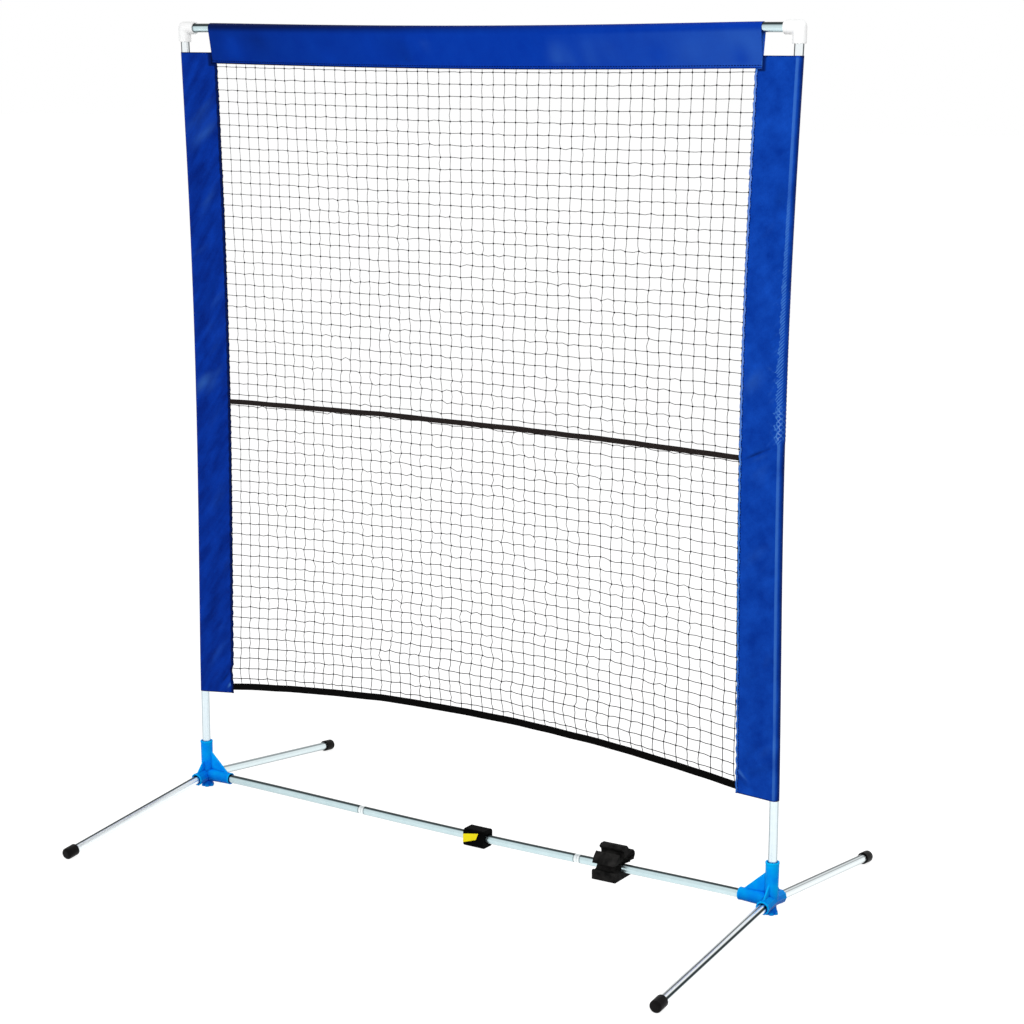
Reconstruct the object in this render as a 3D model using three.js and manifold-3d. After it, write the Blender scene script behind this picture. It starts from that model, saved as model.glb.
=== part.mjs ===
// Tennis rebound net: a free-standing frame of push-together steel tubes that stretches a net
// between three fabric sleeves. Lengths are in millimetres and angles in radians.
// +Z is up, +X is the right end and +Y is the back. The origin is on the floor, below the
// middle of the frame.

import * as THREE from 'three';
import { mergeVertices } from 'three/addons/utils/BufferGeometryUtils.js';
import Module from 'manifold-3d';

const wasm = await Module();
wasm.setup();

// Whole frame
const frameWidth = 1500; // between the axes of the uprights
const frameHeight = 1800; // from the floor to the axis of the top bar
const hubHeight = 67; // from the floor to the point where the axes of a hub cross
const uprightBow = 14.3; // how far the net draws the middle of an upright inwards
const crossbarSag = 6; // how far the middle of the crossbar hangs down

// Clearances
const fitGap = 0.3; // between pieces that touch
const elbowPlay = 0.5; // between a tube and the bore of its elbow
const clipPlay = 0.4; // between the crossbar and the bore of a clip
const overrun = 5; // how far a cutting shape runs past what it cuts

// Tubes
const tubeRadius = 9.5;
const tubeWall = 1;
const jointLength = 45; // reduced end that goes into the next tube
const neckLength = 3; // where a tube narrows to its reduced end
const barJointOffset = 288; // from the middle of a bar to each of its joints
const legReach = 491; // from the crossing point of the hub to the end of the leg's cap

// Hubs
const hubStop = 16; // from the crossing point to the floor of each socket
const hubMouthBevel = 2;
const uprightSocketReach = 84;
const uprightSocketRoot = 13.6;
const uprightSocketMouth = 14.6;
const barSocketReach = 73;
const barSocketRoot = 15.6;
const barSocketMouth = 13.6;
const legSocketReach = 42;
const legSocketRoot = 13.8;
const legSocketMouth = 14.4;
const webThickness = 4;
const webTop = 59; // height on the upright's socket above the crossing point
const webEnd = 63; // reach along the crossbar's socket
const gussetTop = 38;
const gussetEnd = 38;
const stubDepth = 29; // below the crossing point
const stubNeckRadius = 11;
const stubNeckDepth = 15;
const stubRimRadius = 13.6;
const stubRimHeight = 3;
const stubHollowRadius = 8;
const stubHollowMouth = 11;
const stubHollowDepth = 12;
const stubRibWidth = 3.4;
const stubRibDepth = 1.6;
const stubRibHeight = 8;
const stubRibCount = 6;

// Rubber caps on the legs
const capLength = 32;
const capRadius = 13;
const capEnd = 4;
const capRound = 6;
const footFlat = 0.5; // rubber pressed flat where the cap stands

// Corner elbows
const elbowReach = 30; // from the crossing of the two arms to each mouth
const elbowRadius = 13.6;
const elbowHeel = 12; // radius that rounds the outer corner
const elbowCrotch = 2; // radius that rounds the inner corner
const elbowStop = 12; // from the crossing to the end of each tube
const elbowPassage = 7.5; // radius of the passage between the two bores

// Fabric sleeves
const clothWall = 0.8;
const hemWidth = 10;
const hemThickness = 2.4;
const sideSleeveBottom = 282;
const sideSleeveDrop = 52; // from the axis of the top bar down to the sleeve's top
const sideSleeveDepth = 88; // from the axis of the upright to the inner edge
const topSleeveInset = 75; // from the axis of each upright to the end of the sleeve
const topSleeveDepth = 76;

// Net and its tapes
const netColumns = 14;
const netRows = 15;
const cordThickness = 2;
const bottomTapeBase = 290.5; // underside of the bottom tape at its ends
const bottomTapeHeight = 15;
const bottomRise = 47; // how far the bottom edge curves up at the middle
const tapeThickness = 0.8;
const middleTapeHeight = 11;
const middleTapeLevel = 979; // centre of the middle tape at its ends

// Small storage clip
const smallClipPlace = 28; // from the middle of the crossbar
const smallClipLength = 52;
const smallClipSize = 40;
const smallClipCorner = 8;
const smallMouthInner = 14;
const smallMouthOuter = 23;
const labelLength = 40;
const labelHeight = 18;
const labelSlant = 5; // how far its right end leans
const labelThickness = 0.4;
const labelInset = 1.5; // from the end of the clip

// Large storage clip
const largeClipPlace = 371;
const largeClipLength = 58;
const clipSpan = 50; // from the axis of the crossbar out to the furthest edge
const ringWall = 4; // plastic round a channel
const channelMouth = 15;
const lipDepth = 1.5; // from a channel's bore out to the tips of its lips
const frontMouthTurn = Math.PI; // which way a channel opens, from the back upwards
const topMouthTurn = Math.PI * 0.65;
const rearMouthTurn = -Math.PI * 0.47;

// Places on the clip's section as [back, up] shares of its span, from the axis of the crossbar
const barShare = [0, 0];
const frontChannelShare = [-0.43, 0.07];
const topChannelShare = [-0.08, 0.544];
const rearChannelShare = [0.75, 0.32];
const footShares = [[-0.68, -0.16], [-0.68, -0.5], [0.69, -0.5], [0.69, -0.45], [0.28, -0.2]];
const throatShares = [[0.38, 0.15], [0.48, 0.2]];
const roofShares = [[0.8, 0.6], [0.51, 0.72], [0.35, 0.89], [0.1, 0.9]];
const guideShares = [[-0.5, 0.5]];

// Facets
const tubeSides = 12;
const roundSides = 16;
const bendSteps = 8;
const sagSteps = 6;
const elbowSteps = 8;
const arcPoints = 6;
const capArcPoints = 3;

// Derived places
const halfWidth = frameWidth / 2;
const boreRadius = tubeRadius + fitGap;
const elbowBore = tubeRadius + elbowPlay;
const hubRim = hubHeight + uprightSocketReach;
const uprightFoot = hubHeight + hubStop + fitGap;
const elbowMouth = frameHeight - elbowReach;
const uprightHead = frameHeight - elbowStop - fitGap;
const topBarEnd = halfWidth - elbowStop - fitGap;
const barMouth = halfWidth - barSocketReach;
const crossbarEnd = halfWidth - hubStop - fitGap;
const uprightNames = ['lower', 'middle', 'upper'];
const uprightSectionLength = (uprightHead - uprightFoot) / uprightNames.length;
const sideSleeveTop = frameHeight - sideSleeveDrop;
const halfTopSleeve = halfWidth - topSleeveInset;
const halfCord = cordThickness / 2;
const netTop = frameHeight - topSleeveDepth - fitGap - halfCord;
const netBottom = bottomTapeBase + tapeThickness + fitGap + halfCord;
const middleTapeShare = (middleTapeLevel - netBottom) / (netTop - netBottom);

// The cap touches the floor where the round of its end begins, so that sets the leg's slope.
const capBendReach = legReach - capRound;
const capBendRadius = capRadius - capRound;
const legAngle = Math.asin((hubHeight + footFlat - capRound) / Math.hypot(capBendReach, capBendRadius))
  - Math.atan2(capBendRadius, capBendReach);

// Directions inside a hub, whose crossbar socket points along -X
const up = new THREE.Vector3(0, 0, 1);
const inboard = new THREE.Vector3(-1, 0, 0);
const legTurn = Math.PI / 2 + legAngle;
const frontLeg = new THREE.Vector3(0, -Math.cos(legAngle), -Math.sin(legAngle));
const backLeg = new THREE.Vector3(0, Math.cos(legAngle), -Math.sin(legAngle));

// Colours and finishes
const finishes = {
  steel: { color: 0xb9c1c4, roughness: 0.28, metalness: 0.9 },
  hubBlue: { color: 0x0a7de8, roughness: 0.35, metalness: 0 },
  white: { color: 0xf2f2f0, roughness: 0.4, metalness: 0 },
  rubber: { color: 0x151515, roughness: 0.8, metalness: 0 },
  sleeveBlue: { color: 0x1438a8, roughness: 0.65, metalness: 0 },
  netBlack: { color: 0x1a1a1c, roughness: 0.9, metalness: 0 },
  clipBlack: { color: 0x1c1c1d, roughness: 0.6, metalness: 0 },
  yellow: { color: 0xf6e81e, roughness: 0.5, metalness: 0 },
};

// Welds a geometry on its positions and drops the triangles that close up at a pole.
function welded(geometry) {
  const bare = new THREE.BufferGeometry();
  bare.setAttribute('position', geometry.getAttribute('position').clone());
  bare.setIndex(geometry.getIndex());
  const merged = mergeVertices(bare);
  const corners = merged.getIndex().array;
  const kept = [];
  for (let i = 0; i < corners.length; i += 3) {
    const [a, b, c] = [corners[i], corners[i + 1], corners[i + 2]];
    if (a !== b && b !== c && c !== a) kept.push(a, b, c);
  }
  merged.setIndex(kept);
  return merged;
}

function solidOf(geometry) {
  const closed = welded(geometry);
  return new wasm.Manifold(new wasm.Mesh({
    numProp: 3,
    vertProperties: new Float32Array(closed.getAttribute('position').array),
    triVerts: new Uint32Array(closed.getIndex().array),
  }));
}

function geometryOf(solid) {
  const { vertProperties, triVerts } = solid.getMesh();
  const geometry = new THREE.BufferGeometry();
  geometry.setAttribute('position', new THREE.BufferAttribute(vertProperties, 3));
  geometry.setIndex(new THREE.BufferAttribute(triVerts, 1));
  return geometry;
}

// Moves every vertex of a geometry with a function that changes a Vector3.
function reshaped(geometry, move) {
  const position = geometry.getAttribute('position');
  const point = new THREE.Vector3();
  for (let i = 0; i < position.count; i += 1) {
    point.fromBufferAttribute(position, i);
    move(point);
    position.setXYZ(i, point.x, point.y, point.z);
  }
  return geometry;
}

// A profile of [radius, height] pairs turned round +Z. It runs up the outside and down the inside.
function turned(profile, sides) {
  const points = profile.map(([radius, height]) => new THREE.Vector2(radius, height));
  return new THREE.LatheGeometry(points, sides).rotateX(Math.PI / 2);
}

// A cone or cylinder that stands on the origin along +Z.
function cone(footRadius, headRadius, length, sides) {
  return new THREE.CylinderGeometry(headRadius, footRadius, length, sides)
    .rotateX(Math.PI / 2)
    .translate(0, 0, length / 2);
}

function pointed(geometry, direction) {
  return geometry.applyQuaternion(new THREE.Quaternion().setFromUnitVectors(up, direction));
}

// Turns a shape drawn in (back, up) and extruded along +Z so that it runs along +X.
function laidAlongX(geometry) {
  const back = new THREE.Vector3(0, 1, 0);
  const along = new THREE.Vector3(1, 0, 0);
  return geometry.applyMatrix4(new THREE.Matrix4().makeBasis(back, up, along));
}

function polygon(points) {
  return new THREE.Shape(points.map(([x, y]) => new THREE.Vector2(x, y)));
}

// A shape in (back, up) made into a bar along X, centred on the middle of its length.
function barOf(shape, length) {
  const options = { depth: length, bevelEnabled: false, curveSegments: roundSides / 2 };
  return laidAlongX(new THREE.ExtrudeGeometry(shape, options).translate(0, 0, -length / 2));
}

// A curve over 0 to 1 followed in straight steps, so that nested pieces keep their gap.
function stepped(curve, t, steps) {
  const place = THREE.MathUtils.clamp(t, 0, 1) * steps;
  const step = Math.min(Math.floor(place), steps - 1);
  return THREE.MathUtils.lerp(curve(step / steps), curve((step + 1) / steps), place - step);
}

// How far an upright is drawn inwards at a height: a beam clamped by its hub and loose in its
// elbow, pulled evenly by the net.
const bowPeakShare = 0.26;
function bowAt(height) {
  const curve = (t) => uprightBow * t * t * (1 - t) * (3 - 2 * t) / bowPeakShare;
  return stepped(curve, (height - hubRim) / (elbowMouth - hubRim), bendSteps);
}

// How far the crossbar hangs at a distance from its middle.
function sagAt(x) {
  const curve = (t) => crossbarSag * (1 - (2 * t - 1) ** 2) ** 2;
  return stepped(curve, (x + barMouth) / (2 * barMouth), sagSteps);
}

// How much lower one end of a clip hangs than the other, as an angle.
function sagTilt(x, length) {
  return Math.atan((sagAt(x - length / 2) - sagAt(x + length / 2)) / length);
}

// The two ends of a piece and the places between them from an even division of a span.
function stations(start, end, spanStart, spanEnd, count) {
  const places = [start];
  for (let i = 0; i <= count; i += 1) {
    const place = spanStart + (spanEnd - spanStart) * i / count;
    if (place > start + overrun && place < end - overrun) places.push(place);
  }
  places.push(end);
  return places;
}

const uprightStations = (start, end) => stations(start, end, hubRim, elbowMouth, bendSteps);
const barStations = (start, end) => stations(start, end, -barMouth, barMouth, sagSteps);
const straight = (start, end) => [start, end];

// An open tube along +Z with a ring at each place. A reduced head goes into the next tube.
const spigotRadius = tubeRadius - tubeWall - fitGap;
function tube(places, reducedHead) {
  const head = places[places.length - 1];
  const inner = tubeRadius - tubeWall;
  const profile = places.map((place) => [tubeRadius, place]);
  if (reducedHead) {
    profile.push([spigotRadius, head]);
    profile.push([spigotRadius, head + jointLength]);
    profile.push([spigotRadius - tubeWall, head + jointLength]);
    profile.push([spigotRadius - tubeWall, head - neckLength]);
    profile.push([inner, head - neckLength]);
  } else {
    profile.push([inner, head]);
  }
  for (const place of places.slice(0, -1).reverse()) profile.push([inner, place]);
  profile.push([tubeRadius, places[0]]);
  return turned(profile, tubeSides);
}

// The middle section of a bar along X, with a ring at each of the places given by its layout.
function barMiddle(layout) {
  return tube(layout(-barJointOffset, barJointOffset), false).rotateY(Math.PI / 2);
}

// An outer section of a bar, whose reduced end goes into the middle section.
function barOuter(side, end, layout) {
  const geometry = tube(layout(-end, -barJointOffset - fitGap), true).rotateY(Math.PI / 2);
  return side > 0 ? geometry.rotateZ(Math.PI) : geometry;
}

// Section of a sleeve: cloth drawn tight round a tube at the origin, with its two layers
// sewn into a hem that points along -X.
function sleeveLoop(path, radius, reach, halfThickness) {
  const lean = Math.atan2(halfThickness, reach);
  const tangent = Math.PI - lean - Math.acos(radius / Math.hypot(reach, halfThickness));
  path.moveTo(-reach, -halfThickness);
  path.absarc(0, 0, radius, -tangent, tangent, false);
  path.lineTo(-reach, halfThickness);
  return path;
}

function sleeveShape(depth) {
  const hemStart = depth - hemWidth;
  const halfHem = hemThickness / 2;
  const shape = sleeveLoop(new THREE.Shape(), boreRadius + clothWall, hemStart, halfHem);
  shape.lineTo(-depth, halfHem);
  shape.lineTo(-depth, -halfHem);
  shape.closePath();
  const hollow = sleeveLoop(new THREE.Path(), boreRadius, hemStart, halfHem - clothWall);
  hollow.closePath();
  shape.holes.push(hollow);
  return shape;
}

// A sleeve along +Z with a ring at each place.
function sleeve(depth, places) {
  const steps = places.length - 1;
  const length = places[steps] - places[0];
  const options = { depth: length, steps, bevelEnabled: false, curveSegments: arcPoints };
  const geometry = new THREE.ExtrudeGeometry(sleeveShape(depth), options);
  return reshaped(geometry, (point) => { point.z = places[Math.round(steps * point.z / length)]; });
}

function sideSleeve() {
  const geometry = sleeve(sideSleeveDepth, uprightStations(sideSleeveBottom, sideSleeveTop));
  reshaped(geometry, (point) => { point.x -= bowAt(point.z); });
  // The inner top corner makes room for the top sleeve that is sewn over it.
  const notchWidth = halfTopSleeve + fitGap;
  const notchBase = frameHeight - topSleeveDepth - fitGap;
  const notch = new THREE.BoxGeometry(notchWidth, frameWidth, frameHeight)
    .translate(notchWidth / 2 - halfWidth, 0, notchBase + frameHeight / 2);
  return geometryOf(solidOf(geometry).subtract(solidOf(notch)));
}

function topSleeve() {
  const geometry = sleeve(topSleeveDepth, [-halfTopSleeve, halfTopSleeve]);
  const acrossDown = new THREE.Vector3(0, -1, 0);
  const along = new THREE.Vector3(1, 0, 0);
  return geometry.applyMatrix4(new THREE.Matrix4().makeBasis(up, acrossDown, along));
}

function hubArms() {
  return [
    { direction: up, reach: uprightSocketReach, root: uprightSocketRoot, mouth: uprightSocketMouth },
    { direction: inboard, reach: barSocketReach, root: barSocketRoot, mouth: barSocketMouth },
    { direction: frontLeg, reach: legSocketReach, root: legSocketRoot, mouth: legSocketMouth },
    { direction: backLeg, reach: legSocketReach, root: legSocketRoot, mouth: legSocketMouth },
  ];
}

// The bore of a socket, from its floor out through its bevelled mouth.
function socketBore({ direction, reach }) {
  const profile = [
    [0, hubStop],
    [boreRadius, hubStop],
    [boreRadius, reach - hubMouthBevel],
    [boreRadius + hubMouthBevel, reach],
    [boreRadius + hubMouthBevel, reach + overrun],
    [0, reach + overrun],
  ];
  return solidOf(pointed(turned(profile, roundSides), direction));
}

// The hollow stub below a hub, with a flared and ribbed rim.
function hubStub() {
  const profile = [
    [0, -stubDepth + stubHollowDepth],
    [stubHollowRadius, -stubDepth + stubHollowDepth],
    [stubHollowMouth, -stubDepth],
    [stubRimRadius, -stubDepth],
    [stubRimRadius, -stubDepth + stubRimHeight],
    [stubNeckRadius, -stubNeckDepth],
    [stubNeckRadius, 0],
    [0, 0],
  ];
  let stub = solidOf(turned(profile, roundSides));
  for (let i = 0; i < stubRibCount; i += 1) {
    const rib = new THREE.BoxGeometry(stubRibDepth * 2, stubRibWidth, stubRibHeight)
      .translate(stubRimRadius, 0, -stubDepth + stubRibHeight / 2)
      .rotateZ(Math.PI * 2 * (i + 0.5) / stubRibCount);
    stub = stub.add(solidOf(rib));
  }
  return stub;
}

// Thin plates in the corners between the sockets.
function hubWebs() {
  const options = { depth: webThickness, bevelEnabled: false };
  const web = polygon([
    [0, 0],
    [0, webTop],
    [-uprightSocketRoot, webTop],
    [-webEnd, barSocketMouth],
    [-webEnd, 0],
  ]);
  const plates = [new THREE.ExtrudeGeometry(web, options)
    .translate(0, 0, -webThickness / 2)
    .rotateX(Math.PI / 2)];
  for (const side of [-1, 1]) {
    const gusset = polygon([
      [0, 0],
      [0, gussetTop],
      [side * uprightSocketRoot, gussetTop],
      [side * gussetEnd, legSocketMouth - gussetEnd * Math.tan(legAngle)],
      [side * gussetEnd, -gussetEnd * Math.tan(legAngle)],
    ]);
    plates.push(laidAlongX(new THREE.ExtrudeGeometry(gusset, options).translate(0, 0, -webThickness / 2)));
  }
  return plates.map(solidOf);
}

function hub() {
  let solid = hubStub();
  for (const web of hubWebs()) solid = solid.add(web);
  for (const { direction, reach, root, mouth } of hubArms()) {
    solid = solid.add(solidOf(pointed(cone(root, mouth, reach, roundSides), direction)));
  }
  for (const arm of hubArms()) solid = solid.subtract(socketBore(arm));
  return geometryOf(solid);
}

// A bent rod of one radius along the two arms of an elbow, with its outer and inner corners rounded.
// Each line along it lies at its own height over the centre line, which sets where it turns.
function elbowRod(radius) {
  const lines = [];
  for (let j = 0; j < roundSides; j += 1) {
    const around = Math.PI * 2 * j / roundSides;
    const height = radius * Math.cos(around);
    const round = THREE.MathUtils.mapLinear(height, -elbowRadius, elbowRadius, elbowCrotch, elbowHeel);
    const centre = height - round;
    const line = [[-elbowReach, height]];
    for (let i = 0; i <= elbowSteps; i += 1) {
      const turn = Math.PI / 2 * i / elbowSteps;
      line.push([centre + round * Math.sin(turn), centre + round * Math.cos(turn)]);
    }
    line.push([height, -elbowReach]);
    lines.push(line.map(([x, z]) => [x, radius * Math.sin(around), z]));
  }
  const rings = lines[0].length;
  const indices = [];
  for (let j = 0; j < roundSides; j += 1) {
    const next = (j + 1) % roundSides;
    for (let i = 0; i < rings - 1; i += 1) {
      const [a, b] = [j * rings + i, next * rings + i];
      indices.push(a, a + 1, b, b, a + 1, b + 1);
    }
    if (j > 0 && j < roundSides - 1) {
      indices.push(0, j * rings, (j + 1) * rings);
      indices.push(rings - 1, (j + 1) * rings + rings - 1, j * rings + rings - 1);
    }
  }
  const geometry = new THREE.BufferGeometry();
  geometry.setAttribute('position', new THREE.Float32BufferAttribute(lines.flat(2), 3));
  geometry.setIndex(indices);
  return geometry;
}

function elbow() {
  let solid = solidOf(elbowRod(elbowRadius)).subtract(solidOf(elbowRod(elbowPassage)));
  for (const direction of [inboard, up.clone().negate()]) {
    const bore = cone(elbowBore, elbowBore, elbowReach - elbowStop + overrun, roundSides)
      .translate(0, 0, elbowStop);
    solid = solid.subtract(solidOf(pointed(bore, direction)));
  }
  return geometryOf(solid);
}

// A rubber cap in the frame of its hub, for the front leg, cut flat at the floor.
function legCap() {
  const foot = legReach - capLength;
  const profile = [[boreRadius, foot], [capRadius, foot]];
  for (let i = 0; i <= capArcPoints; i += 1) {
    const angle = Math.PI / 2 * i / capArcPoints;
    profile.push([capBendRadius + capRound * Math.cos(angle), capBendReach + capRound * Math.sin(angle)]);
  }
  profile.push([0, legReach]);
  profile.push([0, legReach - capEnd]);
  profile.push([boreRadius, legReach - capEnd]);
  profile.push([boreRadius, foot]);
  const shell = turned(profile, roundSides).rotateX(legTurn);
  const ground = new THREE.BoxGeometry(hubHeight, legReach * 2, hubHeight)
    .translate(0, -legReach, -hubHeight - hubHeight / 2);
  return geometryOf(solidOf(shell).subtract(solidOf(ground)));
}

function legTube() {
  return tube([hubStop + fitGap, legReach - capEnd - fitGap], false);
}

// A point on the net. Across runs from -1 to 1 and rise from 0 at the bottom to 1 at the top.
function netPoint(across, rise) {
  const level = netBottom + (netTop - netBottom) * rise;
  const lift = bottomRise * (1 - across * across) * (1 - rise) ** 2;
  const reach = halfWidth - sideSleeveDepth - bowAt(level) - fitGap - halfCord;
  return { x: across * reach, z: level + lift };
}

// The net as one grid of square cords with a gap in each cell.
function net() {
  const columns = 2 * netColumns + 2;
  const rows = 2 * netRows + 2;
  const positions = [];
  for (const y of [-halfCord, halfCord]) {
    for (let j = 0; j < rows; j += 1) {
      for (let i = 0; i < columns; i += 1) {
        const centre = netPoint(2 * Math.floor(i / 2) / netColumns - 1, Math.floor(j / 2) / netRows);
        positions.push(centre.x + (i % 2 ? halfCord : -halfCord), y, centre.z + (j % 2 ? halfCord : -halfCord));
      }
    }
  }
  const at = (layer, i, j) => (layer * rows + j) * columns + i;
  const indices = [];
  const face = (a, b, c, d) => indices.push(a, b, c, a, c, d);
  const isCord = (i, j) => i >= 0 && j >= 0 && i < columns - 1 && j < rows - 1 && (i % 2 === 0 || j % 2 === 0);
  for (let j = 0; j < rows - 1; j += 1) {
    for (let i = 0; i < columns - 1; i += 1) {
      if (!isCord(i, j)) continue;
      face(at(0, i, j), at(0, i + 1, j), at(0, i + 1, j + 1), at(0, i, j + 1));
      face(at(1, i, j), at(1, i, j + 1), at(1, i + 1, j + 1), at(1, i + 1, j));
      if (!isCord(i, j - 1)) face(at(0, i, j), at(1, i, j), at(1, i + 1, j), at(0, i + 1, j));
      if (!isCord(i, j + 1)) face(at(0, i, j + 1), at(0, i + 1, j + 1), at(1, i + 1, j + 1), at(1, i, j + 1));
      if (!isCord(i - 1, j)) face(at(0, i, j), at(0, i, j + 1), at(1, i, j + 1), at(1, i, j));
      if (!isCord(i + 1, j)) face(at(0, i + 1, j), at(1, i + 1, j), at(1, i + 1, j + 1), at(0, i + 1, j + 1));
    }
  }
  const geometry = new THREE.BufferGeometry();
  geometry.setAttribute('position', new THREE.Float32BufferAttribute(positions, 3));
  geometry.setIndex(indices);
  return geometry;
}

// A tape along X whose section is drawn in (back, up) about the net's line at a rise.
function tape(section, rise) {
  const options = { depth: frameWidth, steps: netColumns, bevelEnabled: false };
  const geometry = laidAlongX(new THREE.ExtrudeGeometry(section, options).translate(0, 0, -halfWidth));
  return reshaped(geometry, (point) => {
    const centre = netPoint(point.x / halfWidth, rise);
    point.set(centre.x, point.y, centre.z + point.z);
  });
}

function middleTape() {
  const back = -halfCord - fitGap;
  const front = back - tapeThickness;
  const half = middleTapeHeight / 2;
  return tape(polygon([[front, -half], [back, -half], [back, half], [front, half]]), middleTapeShare);
}

// The bottom tape is folded up round the lowest cord of the net.
function bottomTape() {
  const inner = halfCord + fitGap;
  const outer = inner + tapeThickness;
  const base = -inner - tapeThickness;
  const top = base + bottomTapeHeight;
  const section = polygon([
    [-outer, base],
    [outer, base],
    [outer, top],
    [inner, top],
    [inner, -inner],
    [-inner, -inner],
    [-inner, top],
    [-outer, top],
  ]);
  return tape(section, 0);
}

// Adds a channel to an outline that runs round a clip with the plastic on its left: in over one
// lip, backwards round the bore and out over the other lip.
function addChannel(outline, share, turn, radius) {
  const [back, height] = share.map((part) => part * clipSpan);
  const halfMouth = channelMouth / 2;
  const halfTurn = Math.asin(halfMouth / radius);
  const reach = boreRadius + lipDepth;
  const lip = (side) => [
    back + reach * Math.cos(turn) - side * halfMouth * Math.sin(turn),
    height + reach * Math.sin(turn) + side * halfMouth * Math.cos(turn),
  ];
  outline.lineTo(...lip(-1));
  outline.absarc(back, height, radius, turn - halfTurn, turn + halfTurn, true);
  outline.lineTo(...lip(1));
}

function addEdge(outline, shares) {
  for (const [back, height] of shares) outline.lineTo(back * clipSpan, height * clipSpan);
}

// The small clip: a thick C in section, open at the back.
function smallClip() {
  const half = smallClipSize / 2;
  const flat = half - smallClipCorner;
  const bore = tubeRadius + clipPlay;
  const mouth = Math.asin(smallMouthInner / 2 / bore);
  const outline = new THREE.Shape().moveTo(half, smallMouthOuter / 2);
  const corners = [[1, 1], [-1, 1], [-1, -1], [1, -1]];
  corners.forEach(([x, y], i) => {
    const start = i * Math.PI / 2;
    outline.absarc(x * flat, y * flat, smallClipCorner, start, start + Math.PI / 2, false);
  });
  outline.lineTo(half, -smallMouthOuter / 2);
  outline.absarc(0, 0, bore, -mouth, mouth, true);
  outline.closePath();
  return barOf(outline, smallClipLength);
}

function clipLabel() {
  const shape = polygon([
    [0, 0],
    [labelLength - labelSlant, 0],
    [labelLength, labelHeight],
    [0, labelHeight],
  ]);
  const options = { depth: labelThickness, bevelEnabled: false };
  return new THREE.ExtrudeGeometry(shape, options)
    .rotateX(Math.PI / 2)
    .translate(labelInset - smallClipLength / 2, -smallClipSize / 2 - fitGap, -labelHeight / 2);
}

// The large clip: channels for stowed tubes round the one that holds the crossbar.
function largeClip() {
  const [rearBack, rearHeight] = rearChannelShare.map((part) => part * clipSpan);
  const [footBack, footHeight] = footShares[0].map((part) => part * clipSpan);
  const outline = new THREE.Shape().moveTo(footBack, footHeight);
  addEdge(outline, footShares.slice(1));
  addChannel(outline, barShare, 0, tubeRadius + clipPlay);
  addEdge(outline, throatShares);
  addChannel(outline, rearChannelShare, rearMouthTurn, boreRadius);
  outline.absarc(rearBack, rearHeight, boreRadius + ringWall, 0, Math.PI / 3, false);
  addEdge(outline, roofShares);
  addChannel(outline, topChannelShare, topMouthTurn, boreRadius);
  addEdge(outline, guideShares);
  addChannel(outline, frontChannelShare, frontMouthTurn, boreRadius);
  outline.closePath();
  return barOf(outline, largeClipLength);
}

function mesh(name, geometry, finish) {
  const made = new THREE.Mesh(welded(geometry), new THREE.MeshStandardMaterial(finishes[finish]));
  made.name = name;
  return made;
}

function addHubsAndLegs(group) {
  for (const [name, side] of [['left', -1], ['right', 1]]) {
    const corner = new THREE.Group();
    corner.position.set(side * halfWidth, 0, hubHeight);
    corner.rotation.z = side < 0 ? Math.PI : 0;
    corner.add(mesh(`${name}_hub`, hub(), 'hubBlue'));
    for (const end of ['front', 'back']) {
      const leg = new THREE.Group();
      const isFront = end === 'front';
      leg.rotation.z = (side > 0) === isFront ? 0 : Math.PI;
      const shaft = mesh(`${name}_${end}_leg`, legTube(), 'steel');
      shaft.rotation.x = legTurn;
      leg.add(shaft);
      leg.add(mesh(`${name}_${end}_cap`, legCap(), 'rubber'));
      corner.add(leg);
    }
    group.add(corner);
  }
}

function addCrossbar(group) {
  const sections = {
    crossbar_left: barOuter(-1, crossbarEnd, barStations),
    crossbar_middle: barMiddle(barStations),
    crossbar_right: barOuter(1, crossbarEnd, barStations),
  };
  for (const [name, geometry] of Object.entries(sections)) {
    reshaped(geometry, (point) => { point.z -= sagAt(point.x); });
    const bar = mesh(name, geometry, 'steel');
    bar.position.z = hubHeight;
    group.add(bar);
  }
}

// A group on the crossbar that lies along it.
function onCrossbar(place, length) {
  const clip = new THREE.Group();
  clip.position.set(place, 0, hubHeight - sagAt(place));
  clip.rotation.y = -sagTilt(place, length);
  return clip;
}

function addClips(group) {
  const small = onCrossbar(smallClipPlace, smallClipLength);
  small.add(mesh('small_clip', smallClip(), 'clipBlack'));
  small.add(mesh('clip_label', clipLabel(), 'yellow'));
  const large = onCrossbar(largeClipPlace, largeClipLength);
  large.add(mesh('large_clip', largeClip(), 'clipBlack'));
  group.add(small, large);
}

function addUprights(group) {
  for (const [side, x] of [['left', -halfWidth], ['right', halfWidth]]) {
    const post = new THREE.Group();
    post.position.x = x;
    post.rotation.z = x < 0 ? Math.PI : 0;
    uprightNames.forEach((name, i) => {
      const isLast = i === uprightNames.length - 1;
      const start = uprightFoot + uprightSectionLength * i;
      const end = start + uprightSectionLength - (isLast ? 0 : fitGap);
      const geometry = tube(uprightStations(start, end), !isLast);
      reshaped(geometry, (point) => { point.x -= bowAt(point.z); });
      post.add(mesh(`${side}_upright_${name}`, geometry, 'steel'));
    });
    const corner = mesh(`${side}_elbow`, elbow(), 'white');
    corner.position.z = frameHeight;
    post.add(corner);
    post.add(mesh(`${side}_sleeve`, sideSleeve(), 'sleeveBlue'));
    group.add(post);
  }
}

function addTop(group) {
  const top = new THREE.Group();
  top.position.z = frameHeight;
  top.add(mesh('top_bar_left', barOuter(-1, topBarEnd, straight), 'steel'));
  top.add(mesh('top_bar_middle', barMiddle(straight), 'steel'));
  top.add(mesh('top_bar_right', barOuter(1, topBarEnd, straight), 'steel'));
  top.add(mesh('top_sleeve', topSleeve(), 'sleeveBlue'));
  group.add(top);
}

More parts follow.
